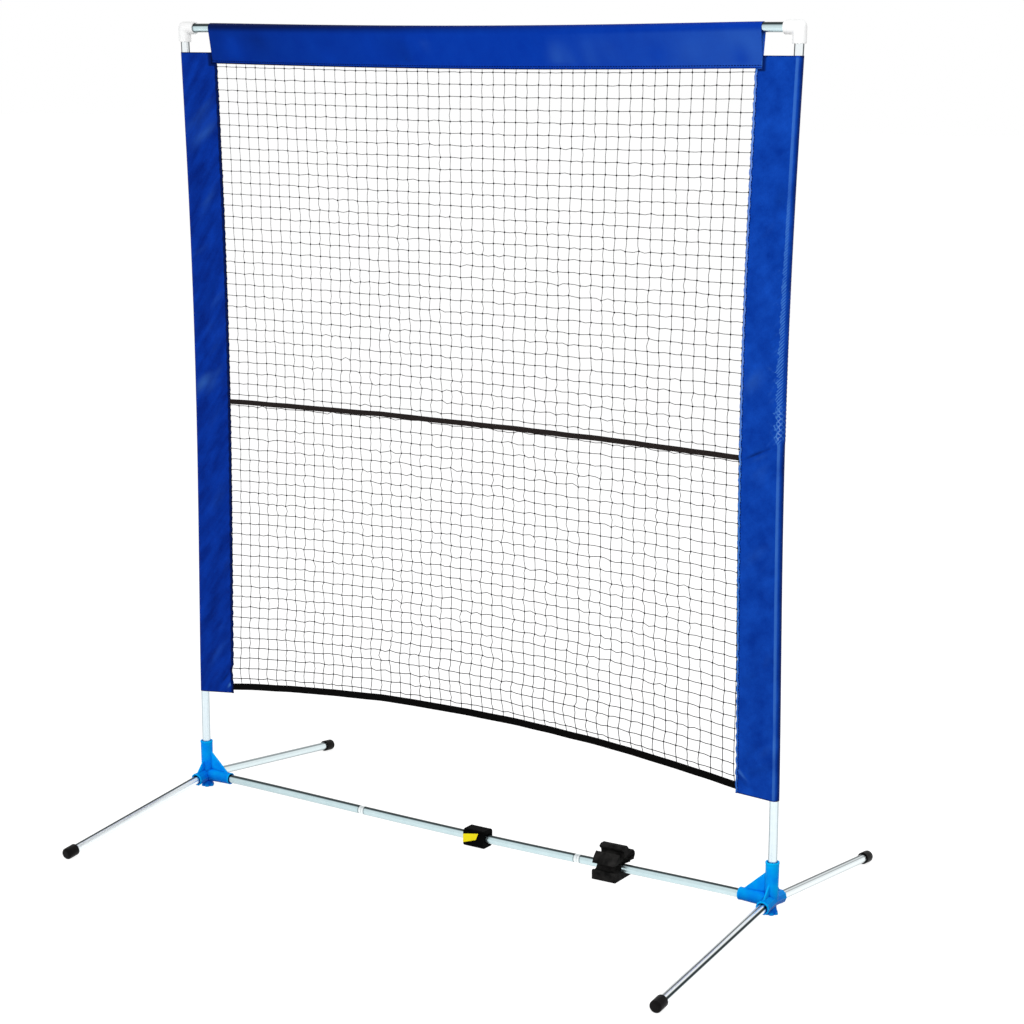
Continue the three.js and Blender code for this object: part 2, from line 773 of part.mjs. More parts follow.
function addNet(group) {
  group.add(mesh('net', net(), 'netBlack'));
  group.add(mesh('middle_tape', middleTape(), 'netBlack'));
  group.add(mesh('bottom_tape', bottomTape(), 'netBlack'));
}

const reboundNet = new THREE.Group();
addHubsAndLegs(reboundNet);
addCrossbar(reboundNet);
addClips(reboundNet);
addUprights(reboundNet);
addTop(reboundNet);
addNet(reboundNet);

export default reboundNet;
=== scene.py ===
"""Looks of a free-standing tennis rebound net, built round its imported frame.

Lengths are in metres and angles in radians. +Z is up, +X is the right end and +Y is the back.
"""

import math

import bmesh
import bpy
import numpy as np
from mathutils import Matrix, Vector


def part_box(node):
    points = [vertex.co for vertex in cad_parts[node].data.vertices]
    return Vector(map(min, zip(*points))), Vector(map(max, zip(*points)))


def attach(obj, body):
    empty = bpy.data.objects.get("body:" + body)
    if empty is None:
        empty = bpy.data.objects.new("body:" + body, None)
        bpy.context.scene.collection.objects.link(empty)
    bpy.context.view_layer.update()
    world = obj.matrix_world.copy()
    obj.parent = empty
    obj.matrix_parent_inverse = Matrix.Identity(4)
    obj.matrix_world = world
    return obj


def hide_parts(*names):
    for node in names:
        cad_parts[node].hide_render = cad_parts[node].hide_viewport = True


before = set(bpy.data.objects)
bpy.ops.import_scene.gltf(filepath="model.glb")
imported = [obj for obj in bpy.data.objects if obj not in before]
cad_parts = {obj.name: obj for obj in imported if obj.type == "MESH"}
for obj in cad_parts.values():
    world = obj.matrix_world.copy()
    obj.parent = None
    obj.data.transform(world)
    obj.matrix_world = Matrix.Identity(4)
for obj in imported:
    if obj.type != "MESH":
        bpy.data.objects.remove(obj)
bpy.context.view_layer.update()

# Places taken from the frame
HUB_LOW, HUB_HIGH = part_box("right_hub")
ELBOW_LOW, ELBOW_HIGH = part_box("right_elbow")
SLEEVE_LOW, SLEEVE_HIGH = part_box("right_sleeve")
TOP_SLEEVE_LOW, TOP_SLEEVE_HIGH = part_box("top_sleeve")
MIDDLE_TAPE_LOW, MIDDLE_TAPE_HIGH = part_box("middle_tape")
NET_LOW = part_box("net")[0]

# Sides and sections by name
SIDE_SIGNS = (("left", -1), ("right", 1))
UPRIGHT_PARTS = ("lower", "middle", "upper")
BAR_PARTS = ("left", "middle", "right")

# Tubes
TUBE_RADIUS = 0.0095
TUBE_WALL = 0.001
TUBE_SOFTENING = 0.0005
FIT_GAP = 0.0003
JOINT_LENGTH = 0.045
BORE_RADIUS = TUBE_RADIUS + FIT_GAP
SPIGOT_ROOT = 3 * TUBE_WALL

# Looks of a joint: rings close to it, a thin dark seam line round it and a painted highlight between
JOINT_RINGS = np.linspace(0.001, 0.012, 12)
JOINT_LINE = 0.0075
JOINT_LINE_WIDTH = 0.0012
JOINT_HIGHLIGHT_REACH = 0.0065

# The whole frame
ELBOW_RADIUS = 0.0136
HALF_WIDTH = ELBOW_HIGH.x - ELBOW_RADIUS
TOP_HEIGHT = ELBOW_HIGH.z - ELBOW_RADIUS
HUB_HEIGHT = 0.067
HUB_RIM = HUB_HIGH.z
ELBOW_MOUTH = ELBOW_LOW.z
BAR_MOUTH = HUB_LOW.x
UPRIGHT_BOW = 0.0143
BOW_PEAK = 0.26
BAR_SAG = 0.006
TOP_SAG = 0.0066
LEG_SLOPE = math.radians(6.457)
LEG_WAYS = [(0, way * math.cos(LEG_SLOPE), -math.sin(LEG_SLOPE)) for way in (-1, 1)]

# Hubs
HUB_STOP = 0.016
SOCKET_BEVEL = 0.002
SOCKET_TAIL = 0.004
LIP_START = 0.006
LIP_CREST = 0.003
LIP_EDGE = 0.0008
LIP_RISE = 0.0006
RIB_RISE = 0.0011
LEG_SOCKET_RIBS = 10
WEB_THICKNESS = 0.0036
WEB_HEIGHT = 0.059
WEB_REACH = 0.063
WEB_CORNER = 0.0136
GUSSET_REACH = 0.038

# Each socket's reach, radius at its root and radius at its mouth
UPRIGHT_SOCKET = (HUB_RIM - HUB_HEIGHT, WEB_CORNER, 0.0142)
BAR_SOCKET = (HALF_WIDTH - HUB_LOW.x, 0.0158, 0.0132)
LEG_SOCKET = (0.042, 0.0138, 0.0142)

# Each part of a stub's outline by radius, and by depth for the neck and the flare or else by height
# over the rim, and where its lobes start and grow
STUB_DEPTH = HUB_HEIGHT - HUB_LOW.z
STUB_NECK = (0.0112, 0.015)
STUB_FLARE = (0.0125, 0.021)
STUB_RIM = (0.0142, 0.003)
STUB_HOLLOW = (0.0085, 0.009)
STUB_FLOOR = (0.008, 0.012)
LOBE_START = 0.014
LOBE_FADE = 0.015
LOBE_INSIDE = 0.009
LOBE_SWELL = 0.17

# The hub's remesh and its stored hollows
HUB_VOXEL = 0.00078
HOLLOW_ROUNDS = 72

# Elbows
ELBOW_HEEL = 0.012
ELBOW_CROTCH = 0.002
ELBOW_STOP = 0.012
ELBOW_PASSAGE = 0.0075
ELBOW_EDGE = 0.0009
ELBOW_STEP = 0.0006
ELBOW_PLAY = 0.0005
ELBOW_REACH = HALF_WIDTH - ELBOW_LOW.x

# Cloth
CLOTH = 0.0007
SLEEVE_RADIUS = BORE_RADIUS + 0.0008
SIDE_DEPTH = 0.088
TOP_DEPTH = TOP_HEIGHT - TOP_SLEEVE_LOW.z
HALF_HEM = 0.0012
HEM_TUCK = 0.0004
ROLL_START = 0.12
ROLL_END = 0.35
BEAD_WIDTH = 0.005
BEAD_HEIGHT = 0.0021
HALF_TOP_SLEEVE = TOP_SLEEVE_HIGH.x
# Where the painted highlight runs along the ridge that the right sleeve's cloth makes round its tube, and
# where the cloth bulges there
RIDGE_START = SIDE_DEPTH + HALF_HEM
RIDGE_SOFTENING = 0.0012
RIDGE_FADE = 0.0045
RIDGE_END = 0.0100
BULGE_BEFORE = 0.001
BULGE_AFTER = 0.002
TOP_SLEEVE_SLANT = 0.003
NOTCH_GAP = 0.0003
CREASE_HEIGHT = 0.0026
WEAVE = 0.0011
STITCH = 0.0062
STITCH_ROW = 0.0070
HALF_STITCH_ROW = 0.0010
PUCKER_PERIODS = (0.031, 0.0085)
PUCKER_REACH = 0.019
HATCH = 0.0044
LATTICE = 0.0080

# Net
COLUMNS = 49
ROWS = 58
TWINE_RADIUS = 0.00064
KNOT_RADIUS = 0.0024
BOTTOM_RISE = 0.047
SOLID_CORD_RADIUS = 0.001
NET_TUCK = 0.0186
TAPE_RIB = 0.0016
TAPE_YARN = 0.0012
NET_BASE = NET_LOW.z + SOLID_CORD_RADIUS
NET_TOP = TOP_SLEEVE_LOW.z + NET_TUCK

# Meshes
SIDES = 48
WELD = 1e-7
TINY = 1e-6
FAR = 10


def bow(height):
    """The inward draw of an upright, as a beam clamped at the hub's rim and propped in its elbow:
    t squared times (1 - t) times (3 - 2t), scaled to its peak, where t is the share of the height."""
    t = np.clip((height - HUB_RIM) / (ELBOW_MOUTH - HUB_RIM), 0, 1)
    return UPRIGHT_BOW * t * t * (1 - t) * (3 - 2 * t) / BOW_PEAK


def sag(x):
    """How far the crossbar hangs: the square of one minus the squared share of the half span."""
    t = np.minimum(np.abs(x) / BAR_MOUTH, 1)
    return BAR_SAG * (1 - t * t) ** 2


def top_sag(x):
    """How far the top bar hangs with its sleeve: one minus the squared share of half the sleeve, to a
    power a little over one."""
    t = np.minimum(np.abs(x) / HALF_TOP_SLEEVE, 1)
    return TOP_SAG * (1 - t * t) ** 1.2


def grid_faces(rows, columns, wrap_rows=False, wrap_columns=False):
    """The quads between neighbouring rows and columns of a grid of points counted row by row."""
    i = np.arange(rows if wrap_rows else rows - 1)[:, None]
    j = np.arange(columns if wrap_columns else columns - 1)[None, :]
    i2, j2 = (i + 1) % rows, (j + 1) % columns
    corners = [i * columns + j, i * columns + j2, i2 * columns + j2, i2 * columns + j]
    return np.stack([np.broadcast_to(c, (i.size, j.size)) for c in corners], axis=-1).reshape(-1, 4)


def facing_out(points, faces):
    """The faces, turned round where the signed volume that they enclose is negative."""
    a, b, c, d = (points[faces[:, k]] for k in range(4))
    volume = (a * np.cross(b, c)).sum() + (a * np.cross(c, d)).sum()
    return faces if volume > 0 else faces[:, ::-1]


def lengths_along(line):
    """The length of a line of points up to each of them."""
    return np.concatenate([[0], np.cumsum(np.linalg.norm(np.diff(line, axis=0), axis=1))])


def joined(parts):
    """Several (points, faces) pairs as one array of points and one list of faces."""
    faces, start = [], 0
    for points, own in parts:
        rows = own.tolist() if isinstance(own, np.ndarray) else own
        faces += [[i + start for i in face] for face in rows]
        start += len(points)
    return np.concatenate([points for points, _ in parts]), faces


def prism(rings):
    """A run of rings with as many points each, skinned with quads and closed by its first and last."""
    count, last = len(rings[0]), (len(rings) - 1) * len(rings[0])
    faces = grid_faces(len(rings), count, False, True).tolist()
    faces += [list(range(count)), list(range(last + count - 1, last - 1, -1))]
    return np.concatenate(rings), faces


def mesh_of(name, points, faces, uv=None, weld=False, outward=False, sharp=35):
    """A mesh from an array of points and a list of faces, with a UV per point where uv is given. Its
    equal points are made one with weld and its faces are turned out with outward."""
    mesh = bpy.data.meshes.new(name)
    mesh.from_pydata(points.reshape(-1, 3).tolist(), [], [list(f) for f in faces])
    if uv is not None:
        loops = np.zeros(len(mesh.loops), np.int32)
        mesh.loops.foreach_get("vertex_index", loops)
        layer = mesh.uv_layers.new(name="UVMap")
        layer.data.foreach_set("uv", uv.reshape(-1, 2)[loops].astype(np.float32).ravel())
    if weld or outward:
        made = bmesh.new()
        made.from_mesh(mesh)
        if weld:
            bmesh.ops.remove_doubles(made, verts=made.verts, dist=WELD)
        if outward:
            bmesh.ops.recalc_face_normals(made, faces=made.faces)
        made.to_mesh(mesh)
        made.free()
    mesh.shade_smooth()
    mesh.set_sharp_from_angle(angle=math.radians(sharp))
    mesh.update()
    return mesh


def new_object(name, data):
    """An object for its data, in the scene."""
    made = bpy.data.objects.new(name, data)
    bpy.context.scene.collection.objects.link(made)
    return made


def piece(mesh, material, body, node):
    """An object named as its mesh, riding on a body and standing for a CAD node."""
    made = new_object(mesh.name, mesh)
    mesh.materials.clear()
    mesh.materials.append(material)
    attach(made, body)
    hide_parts(node)
    return made


def revolved(profile, sides=SIDES):
    """A closed outline of (radius, height) pairs turned round Z: (r cos a, r sin a, h)."""
    profile = np.array(profile, float)
    a = np.linspace(0, 2 * np.pi, sides, endpoint=False)
    r, h = profile[:, :1], profile[:, 1:]
    points = np.stack([r * np.cos(a), r * np.sin(a), np.broadcast_to(h, (len(profile), sides))], axis=-1)
    along = lengths_along(profile)[:, None]
    uv = np.stack(np.broadcast_arrays(a[None, :] * TUBE_RADIUS, along), axis=-1)
    faces = grid_faces(len(profile), sides, True, True)
    points = points.reshape(-1, 3)
    return points, facing_out(points, faces), uv.reshape(-1, 2)


def turned(points, direction):
    """Points turned so that +Z goes to a direction."""
    turn = np.array(Vector((0, 0, 1)).rotation_difference(Vector(direction)).to_matrix())
    return points @ turn.T


def arc(centre, radius, start, end, count):
    """Points at even angles round a centre, from one angle to another."""
    a = np.linspace(start, end, count)
    return [(centre[0] + radius * math.cos(t), centre[1] + radius * math.sin(t)) for t in a]


# Materials

STEEL_RELIEF = 0.00002
PLASTIC_RELIEF = 0.00006
CAP_RELIEF = 0.00012
CLIP_RELIEF = 0.00012
LABEL_RELIEF = 0.00003
CLOTH_RELIEF = 0.00018
CORD_RELIEF = 0.0003
# Heights over which the hub's painted shade fades upwards, and ranges of its stored hollow that set its
# painted shade in hollows and its painted highlight on edges
HUB_SHADE = (0.020, 0.110)
HUB_HOLLOWS = (0.0002, 0.0024)
HUB_EDGES = (0.0003, 0.0018)


def feed(tree, socket, value):
    """Links a Number or a socket to a socket, or sets its value."""
    if isinstance(value, Number):
        tree.links.new(value.socket, socket)
    elif isinstance(value, bpy.types.NodeSocket):
        tree.links.new(value, socket)
    else:
        socket.default_value = value


def add_node(tree, kind, settings=None, inputs=None):
    """A node of a kind, with its settings and then the values or links of its sockets."""
    node = tree.nodes.new(kind)
    for key, value in (settings or {}).items():
        setattr(node, key, value)
    for key, value in (inputs or {}).items():
        feed(tree, node.inputs[key], value)
    return node


def arithmetic(operation, swapped=False):
    """A method that puts a Number and another value, in that order or swapped, into a Math node."""

    def method(self, other):
        return self.maths(operation, *((other, self) if swapped else (self, other)))

    return method


class Number:
    """A number that varies over a surface. Arithmetic on it adds Math nodes."""

    __add__ = arithmetic("ADD")
    __radd__ = arithmetic("ADD", swapped=True)
    __sub__ = arithmetic("SUBTRACT")
    __rsub__ = arithmetic("SUBTRACT", swapped=True)
    __mul__ = arithmetic("MULTIPLY")
    __rmul__ = arithmetic("MULTIPLY", swapped=True)
    __truediv__ = arithmetic("DIVIDE")
    __gt__ = arithmetic("GREATER_THAN")
    __lt__ = arithmetic("LESS_THAN")

    def __init__(self, surface, socket):
        self.surface = surface
        self.socket = socket

    def maths(self, operation, *values):
        values = values or (self,)
        node = self.surface.add("ShaderNodeMath", {"operation": operation}, dict(enumerate(values)))
        return Number(self.surface, node.outputs[0])

    def wave(self, length, phase=None):
        """The sine of a wave of a length, shifted by a phase."""
        turns = self * (2 * math.pi / length)
        return (turns if phase is None else turns + phase).maths("SINE")

    def fraction(self):
        return self.maths("FRACT")

    def absolute(self):
        return self.maths("ABSOLUTE")


class Surface:
    """The node tree of one material, ending in a Principled BSDF."""

    def __init__(self, name):
        self.material = bpy.data.materials.new(name)
        self.material.use_nodes = True
        self.tree = self.material.node_tree
        self.tree.nodes.clear()
        self.shader = self.add("ShaderNodeBsdfPrincipled")
        self.add("ShaderNodeOutputMaterial", {}, {"Surface": self.shader.outputs[0]})

    def add(self, kind, settings=None, inputs=None):
        return add_node(self.tree, kind, settings, inputs)

    def set(self, **inputs):
        """Values or links of the shader's sockets, by their names with underscores."""
        for key, value in inputs.items():
            feed(self.tree, self.shader.inputs[key.replace("_", " ")], value)

    def place(self, kind="Object", scale=(1, 1, 1)):
        """A coordinate, stretched by a scale."""
        source = self.add("ShaderNodeTexCoord")
        inputs = {"Vector": source.outputs[kind], "Scale": scale}
        return self.add("ShaderNodeMapping", {}, inputs).outputs[0]

    def noise(self, place, scale, detail=2.0, roughness=0.5):
        """Noise from 0 to 1, about 0.5."""
        inputs = {"Vector": place, "Scale": scale, "Detail": detail, "Roughness": roughness}
        return Number(self, self.add("ShaderNodeTexNoise", {}, inputs).outputs[0])

    def grain(self, scale, detail=3.0, roughness=0.5):
        """Noise in space."""
        return self.noise(self.place(), scale, detail, roughness)

    def drawn(self, *numbers):
        """Noise at a place made up of numbers."""
        place = self.add("ShaderNodeCombineXYZ", {}, dict(enumerate(numbers))).outputs[0]
        return self.noise(place, 1.0, 3.0)

    def facing(self):
        """From 0 where the surface is seen square on to 1 at its outline."""
        return Number(self, self.add("ShaderNodeLayerWeight", {}, {"Blend": 0.5}).outputs["Facing"])

    def tones(self, value, dark, light, low=0.3, high=0.7):
        """A ramp from a dark colour at a low value to a light one at a high value."""
        node = self.add("ShaderNodeValToRGB", {}, {0: value})
        for element, position, colour in zip(node.color_ramp.elements, (low, high), (dark, light)):
            element.position = position
            element.color = (*colour, 1)
        return node.outputs[0]

    def mix(self, share, first, second):
        """A blend of two colours."""
        first, second = ((*c, 1) if isinstance(c, tuple) else c for c in (first, second))
        return self.add("ShaderNodeMix", {"data_type": "RGBA"}, {0: share, 6: first, 7: second}).outputs[2]

    def bump(self, height, distance, strength=1.0):
        """Relief of a height, in metres for a height of 1."""
        inputs = {"Height": height, "Distance": distance, "Strength": strength}
        self.set(Normal=self.add("ShaderNodeBump", {}, inputs).outputs[0])
        return self

    def stored(self, name):
        """A number stored on the mesh's points."""
        return Number(self, self.add("ShaderNodeAttribute", {"attribute_name": name}).outputs["Fac"])

    def smooth(self, value, low, high):
        """A smooth step from 0 at low to 1 at high."""
        settings, inputs = {"interpolation_type": "SMOOTHSTEP"}, {0: value, 1: low, 2: high}
        return Number(self, self.add("ShaderNodeMapRange", settings, inputs).outputs[0])

    def split(self, place):
        """The parts of a coordinate."""
        parts = self.add("ShaderNodeSeparateXYZ", {}, {0: place}).outputs
        return [Number(self, part) for part in parts]


def steel(name, low, high):
    """Bright zinc on tube, between two tones: long draw lines, a faint spangle and a painted dark
    reflection that grows towards the outline with the gloss, where and as far as the tube's stored shade
    and depth say. A stored painted highlight whitens the metal, and a stored line draws painted dark
    reflections along it and the dark seam beside each joint."""
    s = Surface(name)
    lines = s.noise(s.place("UV", (900, 7, 1)), 1.0, 3.0)
    spangle = s.grain(70.0)
    tone = lines * 0.5 + spangle * 0.5
    # The stored painted highlight whitens the body; painted dark reflections darken it at the outline and
    # along the stored lines
    body = s.mix(s.stored("painted_light"), s.tones(tone, low, high), (0.94, 0.97, 0.98))
    edge = s.smooth(s.facing() + s.stored("shade"), 0.35, 0.58) * s.stored("depth") + s.stored("line")
    s.set(Base_Color=s.mix(edge, body, (0.018, 0.030, 0.032)), Metallic=1.0, Roughness=0.2 + tone * 0.18)
    return s.bump(lines, STEEL_RELIEF).material


def moulded(name, dark, light, roughness, gloss, relief=PLASTIC_RELIEF):
    """Moulded plastic: a slight change of tone and a fine grain."""
    s = Surface(name)
    cloud = s.grain(45.0)
    fine = s.grain(1400.0, 2.0)
    s.set(Base_Color=s.tones(cloud, dark, light), Roughness=roughness + (cloud - 0.5) * 0.16)
    s.set(Specular_IOR_Level=gloss)
    return s.bump(fine * 0.5 + cloud * 0.5, relief).material


def hub_plastic(name, dark, light):
    """Blue moulded plastic with a fine grain, with painted shade in its hollows and bores, below its
    sockets and at its outline with the gloss, and a painted highlight on its edges."""
    s = Surface(name)
    cloud = s.grain(32.0)
    fine = s.grain(1400.0, 2.0)
    _, _, height = s.split(s.place())
    hollow = s.stored("hollow")
    base = s.tones(cloud, dark, light)
    # Painted shade in hollows, in bores, below the sockets and at the outline; a painted highlight on the
    # edges
    shade = s.smooth(hollow, *HUB_HOLLOWS) * 0.6 + (1 - s.smooth(height, *HUB_SHADE)) * 0.95
    painted_hub_shade = s.mix(shade + s.smooth(s.facing(), 0.6, 1.0) * 0.35, base, (0.0, 0.035, 0.45))
    painted_edge_highlight = s.mix(s.smooth(hollow * -1, *HUB_EDGES) * 0.5, painted_hub_shade, (0.002, 0.52, 1.0))
    s.set(Base_Color=painted_edge_highlight, Roughness=0.34 + (cloud - 0.5) * 0.16, Specular_IOR_Level=0.03)
    return s.bump(fine * 0.5 + cloud * 0.5, PLASTIC_RELIEF).material


def puckered(s, across, along, cloud, painted_shading, height, ridge_highlight):
    """The painted light and shade and the relief of cloth with a painted highlight of a strength along its
    ridge, where it turns round its tube, ragged and hatched where the mesh stores a pucker above 0."""
    pucker = s.stored("pucker")
    ragged = s.drawn(along * 26.0)
    large = ((along / PUCKER_PERIODS[0] + ragged * 3.0).fraction() - 0.5).absolute() * 1.5
    small = ((along / PUCKER_PERIODS[1] + ragged * 4.0).fraction() - 0.5).absolute() * 0.6
    past = across - RIDGE_START + (large + small) * ragged * pucker * (pucker + 0.3) * PUCKER_REACH
    fading = s.smooth(across - RIDGE_START, RIDGE_FADE, RIDGE_END)
    # The painted highlight strip along the ridge, and the painted light and shade of the hatched puckers
    strip = s.smooth(past, 0.0, RIDGE_SOFTENING) * (1 - fading)
    up, down = along * 0.7 - across * 0.72, along * 0.7 + across * 0.72
    warp = s.grain(95.0, 2.0)
    rising = up.wave(HATCH, ragged * 9)
    leaning = up.wave(LATTICE, warp * 7)
    falling = down.wave(LATTICE, cloud * 14)
    knotted = s.smooth(pucker, 0.9, 1.0)
    plain = (1 - s.smooth(leaning, 0.2, 0.9)) * (1 - s.smooth(falling, 0.2, 0.9))
    crossed = (1 - plain) * s.smooth(warp + cloud, 0.70, 1.00)
    hatch = s.smooth(rising, -0.2, 0.8) * (1 - knotted) + crossed * knotted
    bulge = s.smooth(across, RIDGE_START - BULGE_BEFORE, RIDGE_START + BULGE_AFTER) * pucker
    painted_shading = painted_shading + strip * ((1 - knotted * 0.4) * ridge_highlight)
    painted_shading = painted_shading + (strip + bulge) * (hatch - 0.45 + knotted * 0.20) * (pucker + knotted * 0.1) * 0.65
    return painted_shading, height + bulge * hatch * 2.0


def cloth(name, dark, light, slant, drag, blotch, ridge_highlight=0.0):
    """Coated blue cloth: a fine weave on the UV map, whose first value is metres across from the inner edge
    and whose second is metres along. Streaks of stretched noise drag across it at a slant and blotches
    cloud it. Stored values paint highlights on the crests of its creases and shade in its valleys and
    elsewhere, and a row of stitches runs beside the rolled hem."""
    s = Surface(name)
    across, along, _ = s.split(s.place("UV"))
    weave = across.wave(WEAVE) * along.wave(WEAVE)
    front = across.absolute()
    c, t = math.cos(slant), math.sin(slant)
    level, run = along * c + front * t, front * c - along * t
    streak = s.drawn(level * 48.0, run * 11.0)
    cloud = s.grain(22.0, 4.0, 0.6)
    fine = s.grain(420.0)
    tone = (streak - 0.5) * drag + (cloud - 0.5) * blotch + (fine - 0.5) * 0.3 + 0.5
    blue = s.tones(tone, dark, light, 0.25, 0.75)
    painted_shading = s.stored("painted_shading")
    height = weave * 0.1 + fine * 0.4 + streak * 1.6 * drag
    if ridge_highlight:
        painted_shading, height = puckered(s, across, along, cloud, painted_shading, height, ridge_highlight)
    # Painted highlights where the stored shading is above 0, brighter above 1, and painted shade where it
    # is below 0
    painted_highlight = s.mix(s.smooth(painted_shading, 0.0, 1.0), blue, (0.050, 0.180, 0.56))
    painted_bright_highlight = s.mix(s.smooth(painted_shading, 1.0, 2.0), painted_highlight, (0.22, 0.32, 0.74))
    painted_shade = s.mix(s.smooth(painted_shading * -1, 0.0, 1.0), painted_bright_highlight, (0.0002, 0.0065, 0.070))
    seam = (front - STITCH_ROW).absolute() < HALF_STITCH_ROW
    stitch = seam * ((along / STITCH).fraction() < 0.7)
    s.set(Base_Color=s.mix(stitch, painted_shade, (0.0004, 0.008, 0.09)), Roughness=0.38 + fine * 0.14)
    s.set(Specular_IOR_Level=0.04)
    return s.bump(height + (1 - stitch) * 0.6, CLOTH_RELIEF).material


def twine(name):
    """Twisted black cord."""
    s = Surface(name)
    fuzz = s.grain(900.0, 2.0)
    s.set(Base_Color=s.tones(fuzz, (0.004, 0.004, 0.005), (0.012, 0.012, 0.014)))
    s.set(Roughness=0.75, Specular_IOR_Level=0.1)
    return s.bump(fuzz, CORD_RELIEF).material


def webbing(name, dark, light, gloss):
    """Woven black tape, with ribs along the UV map's second value."""
    s = Surface(name)
    across, along, _ = s.split(s.place("UV"))
    ribs = along.wave(TAPE_RIB) * 0.5 + across.wave(TAPE_YARN) * 0.5
    fuzz = s.grain(700.0, 2.0)
    s.set(Base_Color=s.tones(fuzz, dark, light, high=0.75))
    s.set(Roughness=0.6 + fuzz * 0.2, Specular_IOR_Level=gloss)
    return s.bump(ribs * 0.5 + fuzz * 0.5, CORD_RELIEF).material


def extruded(name, dark, light):
    """Black extruded plastic, with faint lines along X and dusty patches."""
    s = Surface(name)
    lines = s.noise(s.place("Object", (6, 900, 900)), 1.0, 3.0)
    dust = s.grain(60.0, 4.0)
    s.set(Base_Color=s.tones(dust, dark, light, 0.35, 0.8))
    s.set(Roughness=0.5 + dust * 0.3, Specular_IOR_Level=0.02)
    return s.bump(lines, CLIP_RELIEF).material


# Lit and shaded copies of one zinc steel: the difference between their tones is painted light and shade
LIT_STEEL = steel("lit_zinc_steel", (0.68, 0.79, 0.84), (0.80, 0.89, 0.93))
SHADED_STEEL = steel("shaded_zinc_steel", (0.54, 0.70, 0.73), (0.65, 0.79, 0.82))
# Lit and shaded copies of one blue hub plastic: the right hub's lighter tones are painted light
SHADED_LEFT_BLUE = hub_plastic("shaded_left_hub_plastic", (0.0, 0.21, 0.93), (0.0, 0.42, 1.0))
LIT_RIGHT_BLUE = hub_plastic("lit_right_hub_plastic", (0.0, 0.27, 0.93), (0.0, 0.46, 1.0))
WHITE = moulded("white_elbow_plastic", (0.96, 0.97, 0.97), (0.99, 0.99, 0.99), roughness=0.36, gloss=0.5)
RUBBER = moulded("black_cap_rubber", (0.002, 0.002, 0.002), (0.008, 0.007, 0.007),
                 roughness=0.42, gloss=0.07, relief=CAP_RELIEF)
# Lit and shaded copies of one blue sleeve cloth: the right sleeve's lighter tones and the left and top
# sleeves' darker ones are painted light and shade
SHADED_LEFT_CLOTH = cloth("left_sleeve_cloth", (0.0004, 0.013, 0.175), (0.0022, 0.040, 0.38),
                   slant=math.radians(56), drag=0.85, blotch=0.45)
LIT_RIGHT_CLOTH = cloth("right_sleeve_cloth", (0.0006, 0.030, 0.29), (0.0050, 0.066, 0.46),
                    slant=math.radians(-35), drag=0.4, blotch=1.0, ridge_highlight=0.55)
TOP_CLOTH = cloth("top_sleeve_cloth", (0.0003, 0.028, 0.33), (0.0020, 0.046, 0.41),
                  slant=math.radians(20), drag=0.25, blotch=0.5)
TWINE = twine("black_net_twine")
MIDDLE_WEBBING = webbing("middle_tape_webbing", (0.006, 0.0045, 0.004), (0.030, 0.023, 0.022), 0.08)
BOTTOM_WEBBING = webbing("bottom_tape_webbing", (0.0005, 0.0005, 0.0005), (0.004, 0.0035, 0.0035), 0.03)
LARGE_BLACK = extruded("large_clip_plastic", (0.005, 0.005, 0.005), (0.030, 0.029, 0.028))
SMALL_BLACK = extruded("small_clip_plastic", (0.0005, 0.0005, 0.0005), (0.003, 0.003, 0.003))
YELLOW = moulded("plain_yellow_label", (0.94, 0.76, 0.008), (1.0, 0.88, 0.016),
                 roughness=0.35, gloss=0.1, relief=LABEL_RELIEF)


# Tubes


def tube_profile(start, end, reduced, rings):
    """The closed outline of a tube's wall from start to end, with a reduced end past its end that
    pushes into the next tube where reduced is true."""
    inner, soft = TUBE_RADIUS - TUBE_WALL, TUBE_RADIUS - TUBE_SOFTENING
    places = [np.linspace(start, end, rings), start + JOINT_RINGS, end - JOINT_RINGS]
    heights = np.unique(np.concatenate(places))
    outside = [(soft, start)]
    outside += [(TUBE_RADIUS, h) for h in np.clip(heights, start + TUBE_SOFTENING, end - TUBE_SOFTENING)]
    outside.append((soft, end))
    inside = [(inner, h) for h in heights[:-1][::-1]]
    if not reduced:
        return outside + [(inner, end)] + inside
    neck, tip, root = inner - FIT_GAP, end + JOINT_LENGTH, end - SPIGOT_ROOT
    bore = neck - TUBE_WALL
    return outside + [(neck, end), (neck, tip), (bore, tip), (bore, root), (inner, root)] + inside


def band(value, centre, width):
    """A bell curve of a width about a centre."""
    return np.exp(-(((value - centre) / width) ** 2))


def store(mesh, name, values):
    """Stores a number on each point of a mesh."""
    mesh.attributes.new(name, "FLOAT", "POINT").data.foreach_set("value", values.astype(np.float32).ravel())


